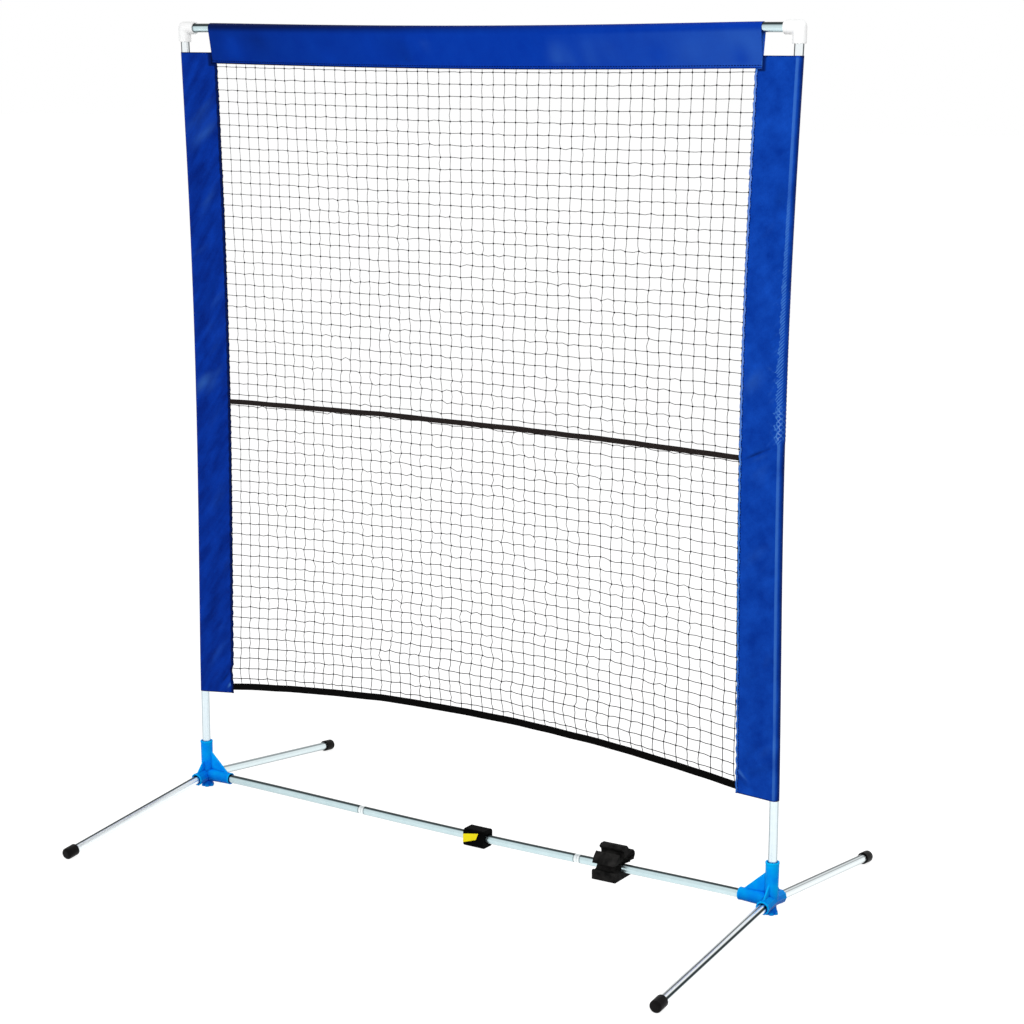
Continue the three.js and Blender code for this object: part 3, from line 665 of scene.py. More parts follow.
def store_shade(mesh, outward, apart, direction, back, shift, depth, painted_light=0.0, lines=()):
    """Stores the painted reflections of a tube's metal at each point. Its gloss darkens with a painted dark
    reflection by the cube of how far the point faces a direction, whose length scales it, with a share of
    that on the side away, plus a shift. The depth of that dark and the painted highlight that whitens the
    metal are stored too, and so are painted dark reflections drawn as lines along the tube: the direction
    that the middle of each faces, its half width as an angle and its strength. Apart is the distance from a
    joint, where a thin dark seam line lies and a painted highlight rings the metal between the joint and
    that line."""
    outward = outward / np.linalg.norm(outward, axis=1, keepdims=True)
    size = np.linalg.norm(direction)
    faced = outward @ (np.array(direction) / max(size, TINY))
    drawn = 0.7 * band(apart, JOINT_LINE, JOINT_LINE_WIDTH)
    for way, half, strength in lines:
        angle = np.arccos(np.clip(outward @ np.array(way) / np.linalg.norm(way), -1, 1))
        drawn = np.maximum(drawn, strength * np.clip(1.7 * (1 - (angle / half) ** 2), 0, 1))
    dark = size * (np.maximum(faced, 0) ** 3 + back * np.maximum(-faced, 0) ** 3) + shift
    # A painted highlight rings the metal next to a joint, where the painted dark reflection weakens
    joint_highlight = apart < JOINT_HIGHLIGHT_REACH
    store(mesh, "shade", dark)
    store(mesh, "depth", depth * (1 - 0.7 * joint_highlight))
    store(mesh, "painted_light", np.maximum(painted_light, 0.75 * joint_highlight))
    store(mesh, "line", drawn)


def tube(node, start, end, reduced, place, body, rings, material, shade, joints=()):
    """A tube along Z, moved to its place by a function of its points. Joints are the heights of the
    ends at which its joints show."""
    points, faces, uv = revolved(tube_profile(start, end, reduced, rings))
    placed = place(points)
    outward = place(points * [2, 2, 1]) - placed
    apart = np.min([np.abs(points[:, 2] - joint) for joint in (*joints, FAR)], axis=0)
    mesh = mesh_of(f"{node}_tube", placed, facing_out(placed, faces), uv)
    store_shade(mesh, outward, apart, *shade)
    piece(mesh, material, body, node)


# Each shade has the values that store_shade takes from its direction on, which paint dark reflections and a
# highlight on a tube
LOWER_UPRIGHT_SHADE = ((0.05, 0, 0), 1.0, 0.08, 0.4)
UPPER_UPRIGHT_SHADE = ((0.16, 0.1, 0), 0.2, 0.08, 0.95, 0.8)
CROSSBAR_SHADE = ((0, 0.22, 0.5), -1.0, 0.17, 0.98)
TOP_BAR_SHADE = ((0, 0.05, 0.45), -0.5, 0.1, 0.8, 0.0, [((0, -0.55, 0.83), 0.75, 0.72)])
LEG_SHADES = {
    "left_front": ((-0.2, 0, 0.3), -1.0, -0.05, 0.7, 0.7,
                   [((0.0, -0.11, 0.994), 0.42, 0.97), ((0.79, -0.07, 0.61), 0.16, 0.2)]),
    "left_back": ((-0.09, 0.026, 0.24), -0.3, -0.09, 0.6, 0.4, [((0.54, 0.09, 0.83), 0.18, 0.4)]),
    "right_front": ((0, 0, 0.1), 0.3, -0.3, 0.25, 0.9,
                    [((0.0, -0.11, 0.994), 0.24, 0.85), ((0.86, -0.06, 0.5), 0.36, 1.0)]),
    "right_back": ((0, 0, 0.1), 0.3, -0.25, 0.4, 0.7,
                   [((0.03, 0.11, 0.99), 0.3, 0.6), ((0.63, 0.09, 0.77), 0.17, 0.55)]),
}


def make_uprights():
    for side, sign in SIDE_SIGNS:
        for part in UPRIGHT_PARTS:
            node = f"{side}_upright_{part}"
            low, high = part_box(node)
            reduced = part != "upper"
            end = high.z - (JOINT_LENGTH if reduced else 0)

            def place(points, sign=sign):
                x = sign * (HALF_WIDTH - bow(points[:, 2]))
                return points + np.stack([x, x * 0, x * 0], axis=1)

            shade = LOWER_UPRIGHT_SHADE if reduced else UPPER_UPRIGHT_SHADE
            tube(node, low.z, end, reduced, place, "upper_frame", 28, LIT_STEEL, shade)


def make_bar(node, body, height, droop, shade):
    """One section of a horizontal bar. Its reduced end, where it has one, points to the middle."""
    low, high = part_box(node)
    outer = "middle" not in node
    sign = 1 if low.x > 0 else -1
    length = high.x - low.x - (JOINT_LENGTH if outer else 0)
    far = max(abs(low.x), abs(high.x))
    start = -far if outer else low.x

    def place(points):
        x = points[:, 2] * (-sign if outer else 1)
        return np.stack([x, points[:, 1], points[:, 0] + height - droop(x)], axis=1)

    joints = (start + length,) if outer else (start, start + length)
    tube(node, start, start + length, outer, place, body, 36, SHADED_STEEL, shade, joints)


def make_bars():
    for part in BAR_PARTS:
        make_bar(f"crossbar_{part}", "base", HUB_HEIGHT, sag, CROSSBAR_SHADE)
        make_bar(f"top_bar_{part}", "upper_frame", TOP_HEIGHT, top_sag, TOP_BAR_SHADE)


LEG_START = HUB_STOP + FIT_GAP
LEG_END = 0.4867
CAP_START = 0.459
CAP_END = 0.491
CAP_RADIUS = 0.013
CAP_RIM = 0.0016
CAP_DOME = 0.006
CAP_FLOOR = 0.004


def cap_profile():
    """A thick rubber cup: an open rolled rim, a straight wall and a well rounded closed end."""
    rim = arc((CAP_RADIUS - CAP_RIM, CAP_START + CAP_RIM), CAP_RIM, -math.pi, 0, 9)
    dome = arc((CAP_RADIUS - CAP_DOME, CAP_END - CAP_DOME), CAP_DOME, 0, math.pi / 2, 12)
    floor = CAP_END - CAP_FLOOR
    inside = [(0, CAP_END), (0, floor), (BORE_RADIUS, floor), (BORE_RADIUS, CAP_START + CAP_RIM)]
    return [*rim[1:], *dome, *inside]


def make_legs():
    for side, sign in SIDE_SIGNS:
        centre = np.array([sign * HALF_WIDTH, 0, HUB_HEIGHT])
        for end, direction in zip(("front", "back"), LEG_WAYS):

            def place(points, direction=direction, centre=centre):
                return turned(points, direction) + centre

            name = f"{side}_{end}"
            body = f"{name}_leg_unit"
            material = LIT_STEEL if end == "front" else SHADED_STEEL
            tube(f"{name}_leg", LEG_START, LEG_END, False, place, body, 2, material, LEG_SHADES[name])
            points, faces, uv = revolved(cap_profile())
            points = place(points)
            points[:, 2] = np.maximum(points[:, 2], 0)
            mesh = mesh_of(f"{name}_cap_rubber", points, faces, uv, weld=True)
            piece(mesh, RUBBER, body, f"{name}_cap")


# Elbows


def elbow_points(rows, sides):
    """The rings of an elbow. Each row is (way, inset, radius). Way runs 0 to 1 along the bar's arm,
    1 to 2 round the bend and 2 to 3 down the other arm, and inset is kept off the mouths. A line at
    a height over the centre line bends with a radius that grows from the inner corner to the outer."""
    way, inset, radius = (column[:, None] for column in np.array(rows, float).T)
    a = np.linspace(0, 2 * np.pi, sides, endpoint=False)[None, :]
    height = radius * np.cos(a)
    bend = np.interp(height, [-ELBOW_RADIUS, ELBOW_RADIUS], [ELBOW_CROTCH, ELBOW_HEEL])
    centre = height - bend
    reach = ELBOW_REACH - inset
    turn = np.clip(way - 1, 0, 1) * np.pi / 2
    x = (reach + centre) * np.clip(way, 0, 1) - reach + bend * np.sin(turn)
    z = centre + bend * np.cos(turn) - (reach + centre) * np.clip(way - 2, 0, 1)
    return np.stack([x, radius * np.sin(a), z], axis=-1).reshape(-1, 3)


def make_elbows():
    """Each elbow is a closed run of rings: out over its skin and back through its bores."""
    edge, step, bore = ELBOW_EDGE, ELBOW_STEP, TUBE_RADIUS + ELBOW_PLAY
    stop = ELBOW_REACH - ELBOW_STOP
    outer = [(0, 0, ELBOW_RADIUS - edge), (0, edge / 4, ELBOW_RADIUS - edge / 4)]
    outer += [(way, edge, ELBOW_RADIUS) for way in np.linspace(0, 3, 46)]
    outer += [(3, edge / 4, ELBOW_RADIUS - edge / 4), (3, 0, ELBOW_RADIUS - edge)]
    inner = [(3, 0, bore + step), (3, step, bore), (3, stop, bore), (3, stop, ELBOW_PASSAGE)]
    inner += [(way, stop, ELBOW_PASSAGE) for way in np.linspace(2, 1, 12)]
    inner += [(0, stop, ELBOW_PASSAGE), (0, stop, bore), (0, step, bore), (0, 0, bore + step)]
    points = elbow_points(outer + inner, SIDES)
    faces = grid_faces(len(outer + inner), SIDES, True, True)
    for side, sign in SIDE_SIGNS:
        placed = points * [sign, 1, 1] + [sign * HALF_WIDTH, 0, TOP_HEIGHT]
        mesh = mesh_of(f"{side}_elbow_shell", placed, facing_out(placed, faces))
        piece(mesh, WHITE, "upper_frame", f"{side}_elbow")


# Hubs


def socket_wall(reach, root, mouth, direction, ribs=0):
    """A socket's wall as a closed outline turned round its axis: a cone outside with a slightly
    raised lip, a bevelled mouth and a bore down to its floor. Ribs swell it round its axis."""
    lengths = np.linspace(-SOCKET_TAIL, reach - LIP_START, 12)
    cone = [(root + (mouth - root) * max(h, 0) / reach, h) for h in lengths]
    crest, bevel = mouth + LIP_RISE, BORE_RADIUS + SOCKET_BEVEL
    rim = [(crest, reach - LIP_CREST), (crest, reach - LIP_EDGE), (crest - LIP_EDGE, reach), (bevel, reach)]
    bore = [(BORE_RADIUS, reach - 2 * SOCKET_BEVEL), (BORE_RADIUS, HUB_STOP), (0, HUB_STOP)]
    points, faces, _ = revolved([(0, -SOCKET_TAIL), *cone, *rim, *bore])
    if ribs:
        around = np.arctan2(points[:, 1], points[:, 0])
        radius = np.hypot(points[:, 0], points[:, 1])
        swell = RIB_RISE * np.maximum(np.cos(ribs * around), 0) ** 3 * (radius > bevel)
        points[:, :2] *= (1 + swell / np.maximum(radius, TINY))[:, None]
    return turned(points, direction), faces


def stub_wall():
    """The hollow stub below a hub, whose flared rim swells into six lobes parted by clefts: its
    radius grows with the square root of the absolute cosine of three times the angle."""
    base = -STUB_DEPTH
    neck, neck_end = STUB_NECK
    profile = [(0, SOCKET_TAIL), (neck, SOCKET_TAIL), (neck, -neck_end), (STUB_FLARE[0], -STUB_FLARE[1])]
    profile += [(STUB_RIM[0], base + STUB_RIM[1]), (STUB_RIM[0], base), (neck, base)]
    profile += [(radius, base + height) for radius, height in (STUB_HOLLOW, STUB_FLOOR, (0, STUB_FLOOR[1]))]
    points, faces, _ = revolved(profile, 2 * SIDES)
    around = np.arctan2(points[:, 1], points[:, 0])
    depth = np.clip((-LOBE_START - points[:, 2]) / LOBE_FADE, 0, 1)
    radius = np.hypot(points[:, 0], points[:, 1])
    lobes = 2 * np.sqrt(np.abs(np.cos(3 * around))) - 1.4
    swell = 1 + LOBE_SWELL * lobes * depth * (radius > LOBE_INSIDE)
    points[:, :2] *= swell[:, None]
    return points, faces


def plate(outline, across):
    """A flat outline given thickness along one axis: X for a gusset, Y for the crossbar's web."""
    wide, tall = np.array(outline, float).T
    layers = []
    for offset in (-WEB_THICKNESS / 2, WEB_THICKNESS / 2):
        flat = np.full(len(wide), offset)
        layers.append(np.stack([flat, wide, tall] if across == "X" else [wide, flat, tall], axis=1))
    return prism(layers)


def smoothed(points, edges, rounds):
    """Points averaged with their neighbours along the edges, a number of times."""
    ends = np.concatenate([edges, edges[:, ::-1]])
    count = np.maximum(np.bincount(ends[:, 0], minlength=len(points)), 1)
    for _ in range(rounds):
        parts = [np.bincount(ends[:, 0], points[ends[:, 1], k], len(points)) / count for k in range(3)]
        points = np.stack(parts, axis=1)
    return points


def store_hollow(mesh, centre, mouths):
    """Stores how far the smoothed skin lies above each point, in metres: above 0 in a hollow and
    below 0 on an edge. The bores and their bevelled mouths count as deep hollows."""
    count = len(mesh.vertices)
    points, normals = np.zeros(3 * count, np.float32), np.zeros(3 * count, np.float32)
    mesh.vertices.foreach_get("co", points)
    mesh.vertex_normals.foreach_get("vector", normals)
    edges = np.zeros(2 * len(mesh.edges), np.int32)
    mesh.edges.foreach_get("vertices", edges)
    points = points.reshape(-1, 3).astype(float)
    apart = smoothed(points, edges.reshape(-1, 2), HOLLOW_ROUNDS) - points
    hollow = (apart * normals.reshape(-1, 3)).sum(axis=1)
    for direction in mouths:
        along = (points - centre) @ np.array(direction)
        off = np.linalg.norm(points - centre - along[:, None] * np.array(direction), axis=1)
        inside = (along > HUB_STOP) & (off < BORE_RADIUS + SOCKET_BEVEL * 0.6)
        hollow = np.where(inside, 4 * HUB_VOXEL, hollow)
    store(mesh, "hollow", hollow)


def make_hub(side, sign, material):
    """The sockets, webs and stub of a hub, fused by a voxel remesh and softened at their joins."""
    parts = [
        socket_wall(*UPRIGHT_SOCKET, (0, 0, 1)),
        socket_wall(*BAR_SOCKET, (-1, 0, 0)),
        *[socket_wall(*LEG_SOCKET, direction, LEG_SOCKET_RIBS) for direction in LEG_WAYS],
        stub_wall(),
    ]
    web = [(0, 0), (0, WEB_HEIGHT), (-WEB_CORNER, WEB_HEIGHT), (-WEB_REACH, WEB_CORNER), (-WEB_REACH, 0)]
    parts.append(plate(web, "Y"))
    drop = GUSSET_REACH * math.tan(LEG_SLOPE)
    for way in (-1, 1):
        reach = way * GUSSET_REACH
        low = [(reach, LEG_SOCKET[2] - drop), (reach, -drop)]
        parts.append(plate([(0, 0), (0, GUSSET_REACH), (way * WEB_CORNER, GUSSET_REACH), *low], "X"))
    points, faces = joined(parts)
    points = points * [sign, 1, 1] + [sign * HALF_WIDTH, 0, HUB_HEIGHT]
    shape = new_object("rough", mesh_of("rough", points, faces, weld=True, outward=True))
    remesh = shape.modifiers.new("fuse", "REMESH")
    remesh.mode = "VOXEL"
    remesh.voxel_size = HUB_VOXEL
    soften = shape.modifiers.new("soften", "SMOOTH")
    soften.factor = 0.5
    soften.iterations = 4
    fused = bpy.data.meshes.new_from_object(shape.evaluated_get(bpy.context.evaluated_depsgraph_get()))
    bpy.data.objects.remove(shape)
    fused.name = f"{side}_hub_body"
    fused.shade_smooth()
    store_hollow(fused, (sign * HALF_WIDTH, 0, HUB_HEIGHT), [(0, 0, 1), (-sign, 0, 0), *LEG_WAYS])
    piece(fused, material, "base", f"{side}_hub")


# Sleeves


def sleeve_section(depth):
    """The closed section of a sleeve as (distance inwards, distance back, metres from the inner
    edge): round the front of the rolled hem, straight to the tube, round it and back along the rear."""
    start = depth - BEAD_WIDTH
    lean = math.atan2(HALF_HEM, start)
    tangent = math.pi - lean - math.acos(SLEEVE_RADIUS / math.hypot(start, HALF_HEM))
    touch = np.array([-SLEEVE_RADIUS * math.cos(tangent), SLEEVE_RADIUS * math.sin(tangent)])
    roll = np.linspace(ROLL_START, np.pi - ROLL_END, 12)
    middle = depth - BEAD_WIDTH / 2
    front = np.stack([middle + BEAD_WIDTH / 2 * np.cos(roll), -BEAD_HEIGHT * np.sin(roll)], axis=1)
    share = np.linspace(0, 1, 28)[:-1, None]
    flat = np.array([start - HEM_TUCK, -HALF_HEM * 0.6]) * (1 - share) + touch * [1, -1] * share
    front = np.concatenate([front, flat])
    a = np.linspace(-tangent, tangent, 25)
    round_tube = np.stack([-SLEEVE_RADIUS * np.cos(a), SLEEVE_RADIUS * np.sin(a)], axis=1)
    section = np.concatenate([front, round_tube, front[::-1] * [1, -1]])
    along = lengths_along(section)
    inner = np.minimum(along, along[-1] - along) * np.where(along < along[-1] / 2, 1, -1)
    return section, inner, along[-1]


def creases(a, z, rows):
    """The sum of soft ridges. Each row is a place inwards and up, a length, a width, a slant from
    the level and a height, and adds its height times the bell curves along and across it."""
    place_a, place_z, length, width, slant, height = np.array(rows, float).T[:, :, None, None]
    da, dz = a[None] - place_a, z[None] - place_z
    along = da * np.cos(slant) + dz * np.sin(slant)
    across = dz * np.cos(slant) - da * np.sin(slant)
    return (height * np.exp(-((along / length) ** 2) - (across / width) ** 2)).sum(axis=0)


def cloth_piece(node, points, across, along, stored, material):
    """A sleeve's sheet from its grid of points, thickened inwards, with the values that its cloth reads
    stored on it: the painted shading is painted light above 0 and painted shade below 0, and pucker is 1
    where its ridge is most ragged."""
    rows, columns = points.shape[:2]
    faces = grid_faces(rows, columns, False, True)
    points = points.reshape(-1, 3)
    faces = facing_out(points, faces)
    uv = np.stack(np.broadcast_arrays(across[None, :], along[:, None]), axis=-1)
    mesh = mesh_of(f"{node}_cloth", points, faces, uv, sharp=60)
    for key, values in stored.items():
        store(mesh, key, values)
    made = piece(mesh, material, "upper_frame", node)
    wall = made.modifiers.new("wall", "SOLIDIFY")
    wall.thickness = CLOTH
    wall.offset = -1


DRAG_REACH = 0.075


def drag_lines(seed, count, low, high, slant, height, length=0.05, width=0.009):
    """Seeded soft ridges spread over a height, near one slant."""
    r = np.random.default_rng(seed)
    return np.stack([
        r.uniform(0.0, DRAG_REACH, count),
        r.uniform(low, high, count),
        length * r.uniform(0.5, 1.3, count),
        width * r.uniform(0.6, 1.5, count),
        slant + r.normal(0, 0.22, count),
        height * r.uniform(-1, 1, count),
    ], axis=1)


LOOSE_START = 0.004
LOOSE_RISE = 0.02
LOOSE_FALL = 0.012


def looseness(a, depth):
    """How free the cloth is at a distance inwards: 0 at its tube and at its hem and 1 between them."""
    rising = np.clip((a - LOOSE_START) / LOOSE_RISE, 0, 1)
    return rising * np.clip((depth - LOOSE_START - a) / LOOSE_FALL, 0, 1)


# Where a side sleeve's ends hold it flat, how the net pulls its hem and where its low corners go
BOTTOM_HOLD = 0.02
TOP_HOLD = 0.03
PULL_WIDTH = 0.02
PULL_GAP = 0.01
PULL_PITCH = 0.0251
PULL_DEPTH = 0.0011
PULL_WAVER = 0.0003
PINCH_RISE = 0.05
PINCH_HEIGHT = 0.018
DROP_HEIGHT = 0.08

# Where the right sleeve puckers along its tube, with scalloped edges
PUCKER_TOP = 1.56
PUCKER_FADE = 0.5
PUCKER_BOTTOM = 1.010
PUCKER_STEP = 0.01
SCALLOP_PITCH = 0.0086
SCALLOP_DEPTH = 0.0006

# Where a side sleeve gets painted shade round the outside of its tube and a painted shadow under the top
# sleeve's end, how narrow the darker bands at its ends are, and where the painted highlight on its hem
# fades
OUTER_START = 0.0065
OUTER_FADE = 0.004
HEM_FADE_TOP = 1.15
HEM_FADE = 0.7
TOP_DARK = 0.0022
BOTTOM_DARK = 0.002
NOTCH_DARK = 0.004
NOTCH_DARK_REACH = 0.012
NOTCH_DARK_FADE = 0.006


def make_side_sleeve(side, sign, front_rows, back_rows, painted_hem_light, hem_width, drop, pinch, material):
    """A side sleeve: its section carried up the bowed upright and pushed out by its creases. Its hem gets a
    painted highlight of an amount over a width, or a painted shade where the amount is below 0, its outer
    bottom corner drops and its inner one is pinched."""
    bottom, top = SLEEVE_LOW.z, SLEEVE_HIGH.z
    notch = TOP_SLEEVE_LOW.z - NOTCH_GAP
    z = np.concatenate([np.linspace(bottom, notch, 430), np.linspace(notch + 2 * NOTCH_GAP, top, 12)])
    section, across, loop = sleeve_section(SIDE_DEPTH)
    a, b = (np.broadcast_to(values, (len(z), len(section))) for values in section.T)
    height = np.broadcast_to(z[:, None], a.shape)
    limit = HALF_WIDTH - HALF_TOP_SLEEVE - 2 * NOTCH_GAP
    a = np.where((height > notch) & (a > limit), limit, a)
    loose = looseness(a, SIDE_DEPTH)
    ends = np.clip((z - bottom) / BOTTOM_HOLD, 0.25, 1) * np.clip((top - z) / TOP_HOLD, 0.0, 1)
    pull = np.clip((a - SIDE_DEPTH + PULL_WIDTH) / PULL_WIDTH, 0, 1) * (height < notch - PULL_GAP)
    a = a - pull * pinch * band(height, bottom + PINCH_RISE, PINCH_HEIGHT)
    waver = np.random.default_rng(1 + len(front_rows)).normal(0, PULL_WAVER, len(z))[:, None]
    tug = PULL_DEPTH * np.cos(2 * np.pi * height / PULL_PITCH)
    a = a + pull * (tug + np.cumsum(waver, axis=0) * 0.1 + waver)
    front, back = (creases(a, height, rows) * ends[:, None] for rows in (front_rows, back_rows))
    push = np.where(b < 0, front, back)
    b = b + np.where(b < 0, -1, 1) * push * (0.25 + 0.75 * loose)
    low = np.clip((bottom + DROP_HEIGHT - height) / DROP_HEIGHT, 0, 1) * np.clip(1 - a / SIDE_DEPTH, 0, 1)
    pucker = np.clip((PUCKER_TOP - height) / PUCKER_FADE, 0, 1)
    pucker = pucker * np.clip((height - PUCKER_BOTTOM) / PUCKER_STEP, 0, 1)
    right = sign > 0
    scallop = SCALLOP_DEPTH * (1 - np.cos(2 * np.pi * height / SCALLOP_PITCH)) * right
    scallop = scallop * np.clip(-a / SLEEVE_RADIUS, 0, 1)
    x = sign * (HALF_WIDTH - a - bow(height)) + scallop * pucker**2
    points = np.stack([x, b, height - drop * low], axis=-1)
    pucker = pucker * (b < 0)
    # Painted light on the creases' crests and painted shade in their valleys, painted shade round the
    # outside of the tube, the hem's painted highlight or shade, darker bands at the ends and a painted
    # shadow under the top sleeve's end
    painted_shading = push / CREASE_HEIGHT
    painted_shading -= 0.7 * np.clip((-OUTER_START - a) / OUTER_FADE, 0, 1) * (1 - 0.7 * pucker)
    painted_light = painted_hem_light * (1 - 0.6 * right * np.clip((HEM_FADE_TOP - height) / HEM_FADE, 0, 1))
    painted_shading += (painted_light - painted_shading) * (np.abs(across) < hem_width)
    painted_shading -= 0.9 * band(z, top, TOP_DARK)[:, None] + 0.8 * band(z, bottom, BOTTOM_DARK)[:, None]
    notch_shadow = np.clip((a - limit + NOTCH_DARK_REACH) / NOTCH_DARK_FADE, 0, 1)
    painted_shading -= 0.8 * (height > notch - NOTCH_DARK) * notch_shadow
    stored = {"painted_shading": painted_shading, "pucker": pucker}
    cloth_piece(f"{side}_sleeve", points, across, z - bottom, stored, material)


# Where the top sleeve's left end slants, and where painted shade darkens it: towards its left end, along
# its top fold and on its hem, with painted light towards its right end
SLANT_START = 0.62
FADE_START = 0.65
TOP_HEM = 0.0035
CREST_START = 0.008
CREST_FADE = 0.018


def make_top_sleeve(rows):
    """The top sleeve: its section hung down from the top bar, with its left end cut at a slant."""
    section, across, loop = sleeve_section(TOP_DEPTH)
    x = np.linspace(-HALF_TOP_SLEEVE, HALF_TOP_SLEEVE, 420)
    a, b = (np.broadcast_to(values, (len(x), len(section))) for values in section.T)
    place = np.broadcast_to(x[:, None], a.shape)
    push = creases(a, place, rows) * (0.2 + 0.8 * looseness(a, TOP_DEPTH))
    left = np.clip((-SLANT_START - place) / (HALF_TOP_SLEEVE - SLANT_START), 0, 1)
    shifted = place + left * TOP_SLEEVE_SLANT * np.clip(a / TOP_DEPTH, 0, 1)
    hung = TOP_HEIGHT - a - top_sag(place)
    points = np.stack([shifted, b + np.where(b < 0, -push, push), hung], axis=-1)
    # Painted shade grows towards the left end and painted light towards the right, painted shade darkens
    # the top fold and the hem, and painted light and shade lie on the creases
    painted_left_shade = np.clip((FADE_START - place) / (2 * FADE_START), 0, 1)
    crest = np.clip((CREST_START - a) / CREST_FADE, 0, 1)
    painted_shading = push / CREASE_HEIGHT - 0.7 * (np.abs(across) < TOP_HEM)
    painted_shading -= (0.5 + 0.3 * painted_left_shade) * crest + 0.44 * painted_left_shade - 0.34 * (1 - painted_left_shade)
    along = x + HALF_TOP_SLEEVE
    cloth_piece("top_sleeve", points, across, along, {"painted_shading": painted_shading}, TOP_CLOTH)


# Creases in rows of place inwards and up, length, width, slant and height
FOLD = [(0.046, 0.988, 0.036, 0.0028, -0.44, -0.0014), (0.046, 0.979, 0.034, 0.006, -0.44, 0.0006)]
RIGHT_CORNER = [(0.074, 0.325, 0.018, 0.005, 0.7, 0.0020), (0.07, 0.31, 0.02, 0.006, 0.7, -0.0007)]
LEFT_CORNER = [(0.078, 0.302, 0.012, 0.003, 0.9, 0.0022), (0.064, 0.318, 0.02, 0.004, 0.9, -0.0016)]

# Ranges of the puckers' places inwards, lengths, widths and heights, and of their places up
PUCKER_PLACES = (-0.002, 0.022)
PUCKER_LENGTHS = (0.004, 0.010)
PUCKER_WIDTHS = (0.0016, 0.0028)
PUCKER_HEIGHTS = (0.0003, 0.0008)
PUCKERS_TOP = 1.50
PUCKERS_REACH = 0.51


def make_sleeves():
    """The right sleeve puckers beside its tube down to one diagonal fold. The left one drags."""
    r = np.random.default_rng(7)
    count = 60
    puckers = np.stack([
        r.uniform(*PUCKER_PLACES, count),
        PUCKERS_TOP - PUCKERS_REACH * r.uniform(0, 1, count) ** 0.6,
        r.uniform(*PUCKER_LENGTHS, count),
        r.uniform(*PUCKER_WIDTHS, count),
        r.choice([-0.85, 0.75], count, p=[0.75, 0.25]) + r.normal(0, 0.12, count),
        r.uniform(*PUCKER_HEIGHTS, count) * r.choice([-1, 1], count),
    ], axis=1)
    soft = drag_lines(11, 40, low=0.30, high=1.70, slant=-0.8, height=0.0006, length=0.04, width=0.012)
    upper = drag_lines(21, 50, low=1.00, high=1.72, slant=0.85, height=0.0005)
    lower = drag_lines(23, 80, low=0.30, high=1.25, slant=0.95, height=0.0003)
    right_back = drag_lines(12, 40, low=0.30, high=1.72, slant=0.9, height=0.0010)
    left_back = drag_lines(22, 40, low=0.30, high=1.72, slant=-0.7, height=0.0010)
    top = drag_lines(31, 40, low=-0.66, high=0.66, slant=0.35, height=0.0004, width=0.02)
    right = np.concatenate([puckers, FOLD, RIGHT_CORNER, soft])
    left = np.concatenate([LEFT_CORNER, upper, lower])
    # The right sleeve's hem gets a painted highlight and the left one's a painted shade
    make_side_sleeve("right", 1, right, right_back, painted_hem_light=1.45, hem_width=0.0060, drop=0.0, pinch=0.0,
                     material=LIT_RIGHT_CLOTH)
    make_side_sleeve("left", -1, left, left_back, painted_hem_light=-1.0, hem_width=0.0078, drop=0.0065, pinch=0.0045,
                     material=SHADED_LEFT_CLOTH)
    make_top_sleeve(top)


# Net and tapes


def net_point(across, rise):
    """A point of the net's plane. Across runs from -1 to 1 between the sleeves, drawn in by the
    bow, and rise from 0 to 1 up. The bottom edge's lift fades upwards and the top bar's hang fades
    downwards."""
    level = NET_BASE + (NET_TOP - NET_BASE) * rise
    lift = BOTTOM_RISE * (1 - across**2) * (1 - rise) ** 2.45
    reach = HALF_WIDTH - SIDE_DEPTH - bow(level)
    return across * reach, level + lift - top_sag(across * reach) * rise**3


def cords(line, radius):
    """Four-sided cords along lines of points, an array of (line, point, XYZ), with a radius at each."""
    lines, count = line.shape[:2]
    ahead = np.gradient(line, axis=1)
    ahead /= np.linalg.norm(ahead, axis=2, keepdims=True)
    level = np.stack([-ahead[..., 2], 0 * ahead[..., 0], ahead[..., 0]], axis=-1)
    back = np.broadcast_to([0, 1.0, 0], level.shape)
    points = np.stack([line + radius * way for way in (level, back, -level, -back)], axis=2)
    last = 4 * count - 1
    ends = [[3, 2, 1, 0], [last - 3, last - 2, last - 1, last]]
    both = np.concatenate([grid_faces(count, 4, False, True), ends])
    faces = both[None] + (np.arange(lines) * count * 4)[:, None, None]
    return points.reshape(-1, 3), faces.reshape(-1, 4)


def knots(centres):
    """A small eight-sided bead at each crossing, as a pair of square pyramids. The square leans and
    the tips lie before and behind it."""
    lean, tip = 0.35, 0.9
    square = [[1, 0, lean], [-lean, 0, 1], [-1, 0, -lean], [lean, 0, -1]]
    ways = np.array([*square, [0, tip, 0], [0, -tip, 0]])
    points = (centres.reshape(-1, 1, 3) + KNOT_RADIUS * ways[None]).reshape(-1, 3)
    pairs = [(i, (i + 1) % 4) for i in range(4)]
    beads = np.array([(4, b, a) for a, b in pairs] + [(5, a, b) for a, b in pairs])
    faces = beads[None] + np.arange(0, len(points), len(ways))[:, None, None]
    return points, faces.reshape(-1, 3)


# How far the net's points stray, and how far it waves, ripples near its bottom and is drawn aside
# just over it
STRAY = 0.0008
LOW_STRAY = 0.0010
DEEP_STRAY = 0.0003
WAVE = 0.0022
RIPPLE = 0.0054
LOW_PULL = 0.005


